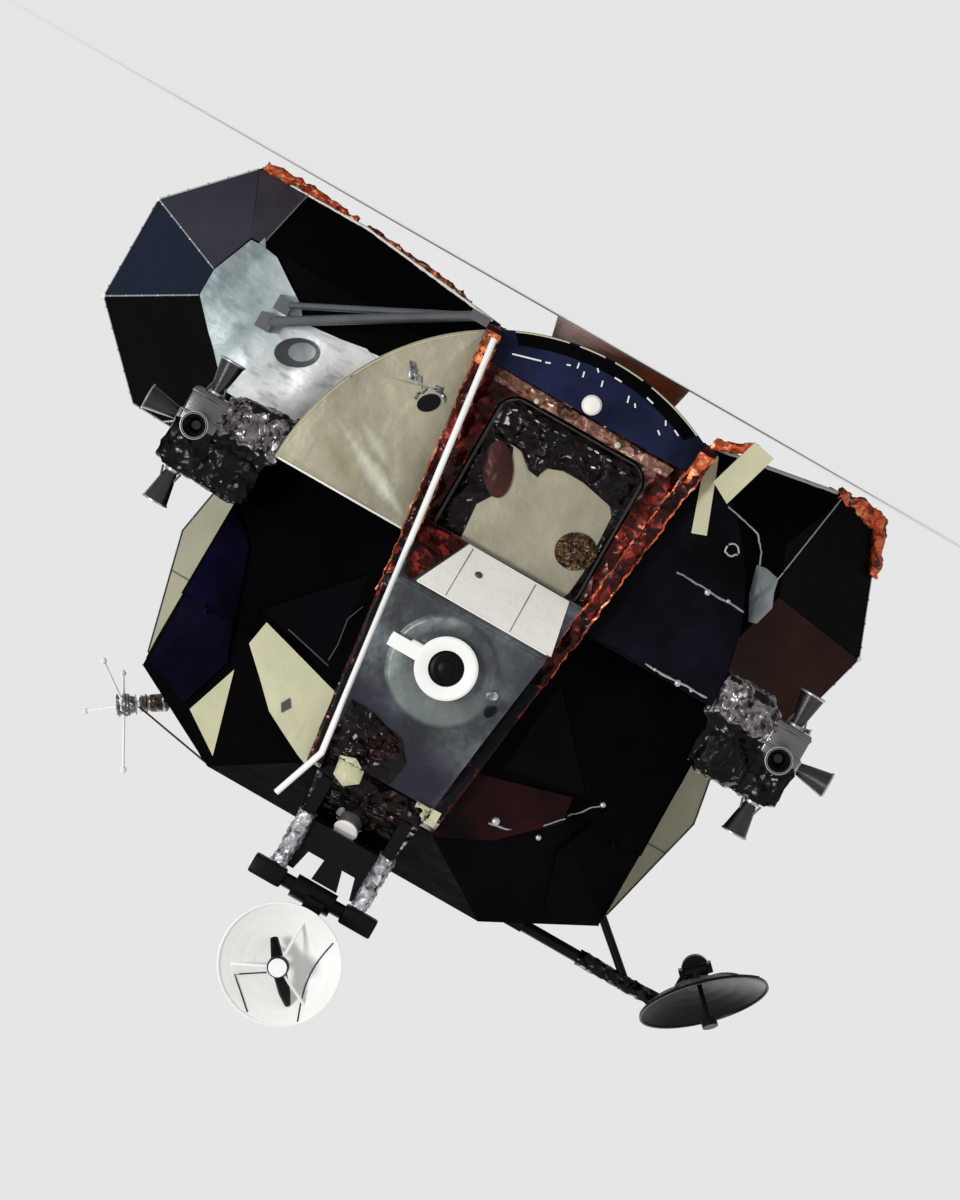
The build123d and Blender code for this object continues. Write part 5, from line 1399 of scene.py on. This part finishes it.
class LANDER_OT_radar(bpy.types.Operator):
    """Silver foil on the radar's arms, its covers, and the seams, rim, feed bar and hub of its dish"""

    bl_idname = "lander.radar"
    bl_label = "Radar"

    def execute(self, context):
        shapes = [wrap_upright([(2.72, x, 0.042, -1.660, 0.125), (2.84, x, 0.042, -1.690, 0.105),
                                (3.005, x, 0.040, -1.738, 0.084)], 0.012, 0.07, 80 + k, 40, 3.5, rows=26)
                  for k, x in enumerate((-0.224, 0.224))]
        dress("radar_arm_foil", shapes, "silver")
        boxes = [rounded_box((sign * 0.166, -1.814, 3.017), (sign * 0.342, -1.686, 3.113), 0.012)
                 for sign in (-1, 1)]
        dress("radar_end_covers", boxes, "satin_black")
        middle_x, middle_z = (dish_low.x + dish_high.x) / 2, (dish_low.z + dish_high.z) / 2
        radius, depth = (dish_high.x - dish_low.x) / 2, 0.095
        vertex = np.array([middle_x, -1.937, middle_z])
        forward = (0, -1, 0)

        def on_dish(points):
            """Points (x, z) from the dish's middle, carried onto its bowl: y = vertex - depth (r / R)^2."""
            points = np.asarray(points, float)
            share = (points**2).sum(-1) / radius**2
            return vertex + np.stack([points[:, 0], -depth * share - 0.003, points[:, 1]], -1)

        left = np.stack([np.linspace(-0.215, -0.175, 12), np.linspace(0.20, -0.22, 12)], -1)
        left[:, 0] += 0.04 * np.sin(np.linspace(0, pi, 12))
        right = spaced([(0.02, 0.28), (0.165, 0.155), (0.035, 0.075)], 0.03, closed=False)
        bar = vertex + [(-0.130, -0.045, 0.155), (-0.09, -0.11, 0.105), (0.0, -0.17, 0.0),
                        (0.085, -0.10, -0.10)]
        stay = vertex + [(0.0, -0.20, 0.0), (0.07, -0.03, -0.06)]
        rim = [(radius - 0.006, -0.006), (radius - 0.001, -0.005), (radius - 0.0005, 0.002),
               (radius - 0.006, 0.004), (radius - 0.012, 0.0)]
        hub = [(0.050, 0), (0.054, 0.01), (0.054, 0.06), (0.044, 0.078), (0.012, 0.084)]
        hub_place = (middle_x, dish_low.y + 0.086, middle_z)
        back = rounded_box((middle_x - 0.1, -1.925, 3.195), (middle_x + 0.1, -1.752, 3.50), 0.015)
        pieces = [
            ("dish_seams", "satin_black", [tube(on_dish(left), 0.0035), tube(on_dish(right), 0.0035)]),
            ("dish_rim", "white", [turned(rim, vertex - depth * y_axis, forward, 72, ring=True)]),
            ("dish_feed_bar", "satin_black",
             [tube(bar, (0.016, 0.030, 0.036, 0.020), 12), tube(stay, 0.010, 8)]),
            ("dish_feed_hub", "satin_black", [turned(hub, hub_place, forward, 28)]),
            ("dish_back_cover", "satin_black", [back]),
        ]
        for name, finish, shapes in pieces:
            dress(name, shapes, finish, body="radar_dish")
        return {"FINISHED"}


class LANDER_OT_radar_foot(bpy.types.Operator):
    """Dark foil, a pale lump and the bright telescope cap at the foot of the radar"""

    bl_idname = "lander.radar_foot"
    bl_label = "Radar foot"

    def execute(self, context):
        foil = [(-0.30, 2.42), (0.30, 2.42), (0.26, 2.72), (-0.26, 2.72)]
        heap = [(0.31, 2.12), (0.198, 2.115), (0.10, 2.15), (0.003, 2.162), (-0.077, 2.269), (-0.055, 2.39),
                (0.0, 2.43), (0.30, 2.43)]
        lump = [(0.225, 2.385), (0.15, 2.36), (0.085, 2.40), (0.075, 2.47), (0.14, 2.52), (0.21, 2.49)]
        carriers = ["nose", "forehead", "front_beam_port"]
        lay_sheets([
            ("radar_foot_foil", "maroon_foil", foil, carriers + ["front_beam_starboard"],
             {"thickness": 0.008, "crumple": 0.03, "size": 0.16, "seed": 90, "step": 0.014}),
            ("nose_top_foil", "maroon_foil", heap, carriers,
             {"thickness": 0.012, "crumple": 0.050, "size": 0.13, "seed": 91, "step": 0.012,
              "middle": (0.12, 2.28), "puff": 0.02}),
            ("nose_top_lump", "pale_cream", lump, carriers,
             {"thickness": 0.060, "crumple": 0.020, "size": 0.10, "seed": 92, "step": 0.012, "puff": 0.02}),
        ])
        cap = [(0.062, -0.01), (0.064, 0.0), (0.060, 0.006), (0.03, 0.008), (0.004, 0.008)]
        axis = np.array([0, -1, 1]) / sqrt(2)
        foot = np.array([0.02, -1.5, 2.56])
        dress("telescope_cap", [turned(cap, foot + axis * 0.222, axis, 28)], "bright_white")
        return {"FINISHED"}


class LANDER_OT_steerable_antenna(bpy.types.Operator):
    """Rim and ribs of the steerable antenna's dish, and black foil on its boom"""

    bl_idname = "lander.steerable_antenna"
    bl_label = "Steerable antenna"

    def execute(self, context):
        pivot = np.array([-1.849, -1.180, 2.502])
        lean = np.array([-1, 0, 1]) / sqrt(2)
        tilt = radians(66)
        face = np.array([0, -1, 0]) * cos(tilt) + lean * sin(tilt)
        vertex = pivot + face * 0.075
        radius, depth = 0.33, 0.095
        rim = [(radius - 0.012, depth - 0.012), (radius + 0.002, depth - 0.008),
               (radius + 0.003, depth + 0.003), (radius - 0.008, depth + 0.003)]
        shapes = [turned(rim, vertex, face, 72, ring=True)]
        dress("steerable_rim", shapes, "satin_black", body="steerable_dish")
        share = np.linspace(0.16, 0.98, 8)[:, None]
        ribs = [tube(vertex + way * radius * share + face * (depth * share**2 - 0.013), 0.0055)
                for way in circle(*basis(face), 12)]
        dress("steerable_ribs", ribs, "dark_metal", body="steerable_dish")
        boom_y, boom_z = -0.8, 2.769
        boom = [(-1.32, boom_y, 0.040, boom_z, 0.040), (-1.6, boom_y, 0.038, boom_z, 0.040),
                (-1.80, boom_y, 0.040, boom_z - 0.004, 0.040)]
        dress("steerable_boom_foil", [wrap(boom, 0.007, 0.06, 95, 28, 2.2, rows=46)], "dark_foil")
        return {"FINISHED"}


class LANDER_OT_rod_antenna(bpy.types.Operator):
    """Crumpled foil and sleeve on the mast of the port rod antenna, and its two thin braces"""

    bl_idname = "lander.rod_antenna"
    bl_label = "Rod antenna"

    def execute(self, context):
        hub = np.array([1.311, -0.785, 2.808])
        foot = np.array([1.060, -0.785, 2.640])

        def run(start, end, low, high, count):
            """Points between two shares of the way from a start to an end."""
            return start + (end - start) * np.linspace(low, high, count)[:, None]

        # Where each lump of foil starts and ends as a share of the mast, and its radius
        lumps = [(-0.12, 0.20, 0.062), (0.26, 0.48, 0.050), (0.60, 0.90, 0.054)]
        shapes = []
        for k, (low, high, radius) in enumerate(lumps):
            path = run(hub, foot, low, high, 14)
            shapes.append(tube(path, radius * (0.8 + 0.35 * creases(path, 0.05, 170 + k)), 14))
        dress("mast_foil", shapes, "quad_foil")
        dress("mast_sleeve", [tube(run(hub, foot, 0.45, 0.65, 8), 0.046, 14)], "brown_foil")
        roof_edge = np.array([0.800, -1.330, 2.800])
        starts = [hub * 0.8 + foot * 0.2, hub * 0.2 + foot * 0.8]
        dress("mast_braces", [tube(run(start, roof_edge, 0, 1, 12), 0.0055) for start in starts], "rust")
        return {"FINISHED"}


class LANDER_OT_docking_port(bpy.types.Operator):
    """Seal, latches and bolts of the docking ring"""

    bl_idname = "lander.docking_port"
    bl_label = "Docking port"

    def execute(self, context):
        top, radius = ring_high.z, ring_high.x
        seal = [(0.425, -0.0105), (0.430, -0.0005), (0.444, -0.0005), (0.449, -0.0105), (0.444, -0.0145),
                (0.430, -0.0145)]
        dress("docking_seal", [turned(seal, (0, 0, top), z_axis, 96, ring=True)], "satin_black")
        vertices, faces = rounded_box((-0.022, -0.035, -0.052), (0.022, 0.035, -0.002), 0.008)
        shapes = []
        for way in circle(x_axis, y_axis, 12):
            turn = np.array([way, np.cross(z_axis, way), z_axis])
            shapes.append((top * z_axis + way * (radius + 0.012) + vertices @ turn, faces))
        dress("docking_latches", shapes, "dark_metal")
        bolt_circle = 0.474
        places = top * z_axis + circle(x_axis, y_axis, 60) * bolt_circle
        dress("docking_bolts", [rivets(places, z_axis, 0.006)], "metal")
        return {"FINISHED"}


class LANDER_OT_hull_skins(bpy.types.Operator):
    """Sheets on the sides and the roof of the cabin, the midsection and the aft bay"""

    bl_idname = "lander.hull_skins"
    bl_label = "Sides and roof"

    def execute(self, context):
        # Name, finish, outline (y, z), node beneath, crumple, its size
        side_sheets = [
            ("cabin_side", "black", rectangle(-1.30, -0.70, 1.60, 2.50), "cabin_upper_shell", 0.012, 0.4),
            ("mid_side_low", "side", rectangle(-0.66, 0.66, 1.60, 1.86), "midsection", 0.010, 0.4),
            ("mid_side_high", "side", rectangle(-0.66, 0.66, 1.90, 2.50), "midsection", 0.012, 0.45),
            ("aft_side_front", "aft", rectangle(0.71, 1.28, 0.55, 2.0), "aft_equipment_bay", 0.012, 0.45),
            ("aft_side_back", "aft", rectangle(1.31, 1.90, 0.60, 2.0), "aft_equipment_bay", 0.012, 0.45),
        ]
        for side, first_seed in (("port", 100), ("starboard", 120)):
            for k, (name, finish, outline, carrier, height, size) in enumerate(side_sheets):
                shape = skin(outline, side, [carrier], thickness=0.005, crumple=height, size=size,
                             seed=first_seed + k, step=0.035)
                dress(f"{name}_{side}", [shape], finish)
        # Name, finish, outline (x, y), node beneath
        roof_sheets = [
            ("deck_sheet_port", "black", rectangle(0.58, 0.76, -1.30, -0.70), "cabin_upper_shell"),
            ("deck_sheet_middle", "black", rectangle(-0.76, 0.38, -1.30, -0.70), "cabin_upper_shell"),
            ("mid_roof_port", "side", rectangle(0.52, 0.93, -0.66, 0.66), "midsection"),
            ("mid_roof_starboard", "side", rectangle(-0.93, -0.52, -0.66, 0.24), "midsection"),
            ("aft_roof", "aft", rectangle(-0.70, 0.70, 0.72, 1.30), "aft_equipment_bay"),
        ]
        for k, (name, finish, outline, carrier) in enumerate(roof_sheets):
            shape = skin(outline, "top", [carrier], thickness=0.005, crumple=0.010, size=0.35, seed=150 + k,
                         step=0.035)
            dress(name, [shape], finish)
        return {"FINISHED"}


class LANDER_OT_back_fittings(bpy.types.Operator):
    """Rivets round the rear panels, and the louvred boxes on them"""

    bl_idname = "lander.back_fittings"
    bl_label = "Back fittings"

    def execute(self, context):
        low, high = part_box("aft_panels")
        panel_middles = (-0.7, 0.0, 0.7)
        frames = []
        for centre in panel_middles:
            flat = spaced([(centre - 0.255, low.z + 0.025), (centre + 0.255, low.z + 0.025),
                           (centre + 0.255, high.z - 0.025), (centre - 0.255, high.z - 0.025)], 0.06)
            frames.append(at_depth(flat, high.y))
        heads = rivets(np.vstack(frames), (0, 1, 0), look().rivet_radius * 0.7)
        dress("aft_panel_rivets", [heads], "metal")
        louvre_middles = (0.84, 1.10, 1.36, 1.62, 1.86)
        boxes = [rounded_box((x - 0.20, high.y - 0.012, z - 0.085), (x + 0.20, high.y, z + 0.085), 0.006)
                 for x in panel_middles for z in louvre_middles]
        dress("aft_louvre_boxes", boxes, "silver")
        return {"FINISHED"}


class LANDER_OT_stage(bpy.types.Operator):
    """Pale floor, soft lamps, pale world and the camera at the photograph's place"""

    bl_idname = "lander.stage"
    bl_label = "Floor, lamps and camera"

    def execute(self, context):
        scene = context.scene
        scene.view_settings.view_transform = "Standard"
        self.make_floor(scene)
        # Name, strength, apparent width in degrees, direction it shines from
        lamps = [
            ("key", 1.7, 12.0, (0.50, -0.82, 0.20)),
            ("fill", 0.3, 60.0, (-0.75, -0.55, 0.5)),
            ("back", 1.2, 40.0, (-0.3, 0.75, 0.9)),
        ]
        for name, strength, width, way in lamps:
            lamp = bpy.data.lights.new(name, "SUN")
            lamp.energy = strength
            lamp.angle = radians(width)
            holder = bpy.data.objects.new(name, lamp)
            holder.rotation_euler = Vector(way).to_track_quat("Z", "Y").to_euler()
            scene.collection.objects.link(holder)
        self.make_world(scene)
        self.make_camera(scene)
        return {"FINISHED"}

    def make_floor(self, scene):
        """Flat pale square, 120 m wide, at height 0."""
        reach = 60.0
        corners = [(-reach, -reach, 0), (reach, -reach, 0), (-reach, reach, 0), (reach, reach, 0)]
        mesh = bpy.data.meshes.new("floor")
        mesh.from_pydata(corners, [], [(0, 1, 3, 2)])
        paint = {"Base_Color": (0.97, 0.97, 0.97), "Roughness": 1.0, "Specular_IOR_Level": 0.0}
        mesh.materials.append(Finish("pale_floor").set(**paint))
        floor = bpy.data.objects.new("floor", mesh)
        scene.collection.objects.link(floor)

    def make_camera(self, scene):
        """Camera on the craft's front, rolled. It looks at the middle of what the construction covers in
        its picture: each point's offset along the picture's two axes, divided by its distance along y."""
        here = look()
        camera = bpy.data.cameras.new("camera")
        camera.lens = here.lens
        camera.sensor_fit = "AUTO"
        camera.clip_start, camera.clip_end = 0.05, 200.0
        holder = bpy.data.objects.new("camera", camera)
        scene.collection.objects.link(holder)
        scene.camera = holder
        place = Vector((0, -here.camera_distance, here.camera_height))
        roll = here.camera_roll
        side = Vector((cos(roll), 0, -sin(roll)))
        upward = Vector((sin(roll), 0, cos(roll)))
        points = triangles_of(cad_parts).reshape(-1, 3) - np.array(place)
        flat = np.stack([points @ np.array(side), points @ np.array(upward)], -1) / points[:, 1:2]
        middle = (flat.min(0) + flat.max(0)) / 2
        target = side * float(middle[0]) + upward * float(middle[1]) + Vector((0, 1, 0))
        back = -target.normalized()
        right = upward.cross(back).normalized()
        holder.location = place
        holder.rotation_euler = Matrix((right, back.cross(right), back)).transposed().to_euler()

    def make_world(self, scene):
        """White light all round, which camera, glossy and transmitted rays see as pale grey."""
        light_strength, seen_grey = 0.37, 0.79
        world = bpy.data.worlds.new("pale_world")
        scene.world = world
        world.use_nodes = True
        nodes, links = world.node_tree.nodes, world.node_tree.links
        nodes.clear()
        output = nodes.new("ShaderNodeOutputWorld")
        mixer = nodes.new("ShaderNodeMixShader")
        light = nodes.new("ShaderNodeBackground")
        seen = nodes.new("ShaderNodeBackground")
        path = nodes.new("ShaderNodeLightPath")
        first = nodes.new("ShaderNodeMath")
        second = nodes.new("ShaderNodeMath")
        first.operation = second.operation = "MAXIMUM"
        light.inputs["Strength"].default_value = light_strength
        light.inputs["Color"].default_value = (1.0, 1.0, 1.0, 1.0)
        seen.inputs["Strength"].default_value = 1.0
        seen.inputs["Color"].default_value = (seen_grey, seen_grey, seen_grey, 1.0)
        joints = [
            (path.outputs["Is Camera Ray"], first.inputs[0]),
            (path.outputs["Is Glossy Ray"], first.inputs[1]),
            (first.outputs[0], second.inputs[0]),
            (path.outputs["Is Transmission Ray"], second.inputs[1]),
            (second.outputs[0], mixer.inputs[0]),
            (light.outputs[0], mixer.inputs[1]),
            (seen.outputs[0], mixer.inputs[2]),
            (mixer.outputs[0], output.inputs[0]),
        ]
        for source, socket in joints:
            links.new(source, socket)


steps = [
    LANDER_OT_finish_construction, LANDER_OT_front_sheets, LANDER_OT_seam_beads, LANDER_OT_front_seams,
    LANDER_OT_nose, LANDER_OT_hatch, LANDER_OT_beams, LANDER_OT_lip, LANDER_OT_tank_bays, LANDER_OT_quads,
    LANDER_OT_radar, LANDER_OT_radar_foot, LANDER_OT_steerable_antenna, LANDER_OT_rod_antenna,
    LANDER_OT_docking_port, LANDER_OT_hull_skins, LANDER_OT_back_fittings, LANDER_OT_stage,
]


class LANDER_PT_dress(bpy.types.Panel):
    """Lists the settings and the steps"""

    bl_idname = "LANDER_PT_dress"
    bl_label = "Lander"
    bl_space_type = "VIEW_3D"
    bl_region_type = "UI"
    bl_category = "Lander"

    def draw(self, context):
        for setting in LanderLook.__annotations__:
            self.layout.prop(context.scene.lander_look, setting)
        for step in steps:
            self.layout.operator(step.bl_idname)


def register():
    """Make the settings, the steps and the panel known."""
    bpy.utils.register_class(LanderLook)
    bpy.types.Scene.lander_look = bpy.props.PointerProperty(type=LanderLook)
    for kind in [*steps, LANDER_PT_dress]:
        bpy.utils.register_class(kind)


def unregister():
    """Undo register."""
    for kind in [LANDER_PT_dress, *reversed(steps)]:
        bpy.utils.unregister_class(kind)
    del bpy.types.Scene.lander_look
    bpy.utils.unregister_class(LanderLook)


def main():
    """Run every step in order."""
    register()
    for step in steps:
        group, name = step.bl_idname.split(".")
        getattr(getattr(bpy.ops, group), name)()


if __name__ == "__main__":
    main()
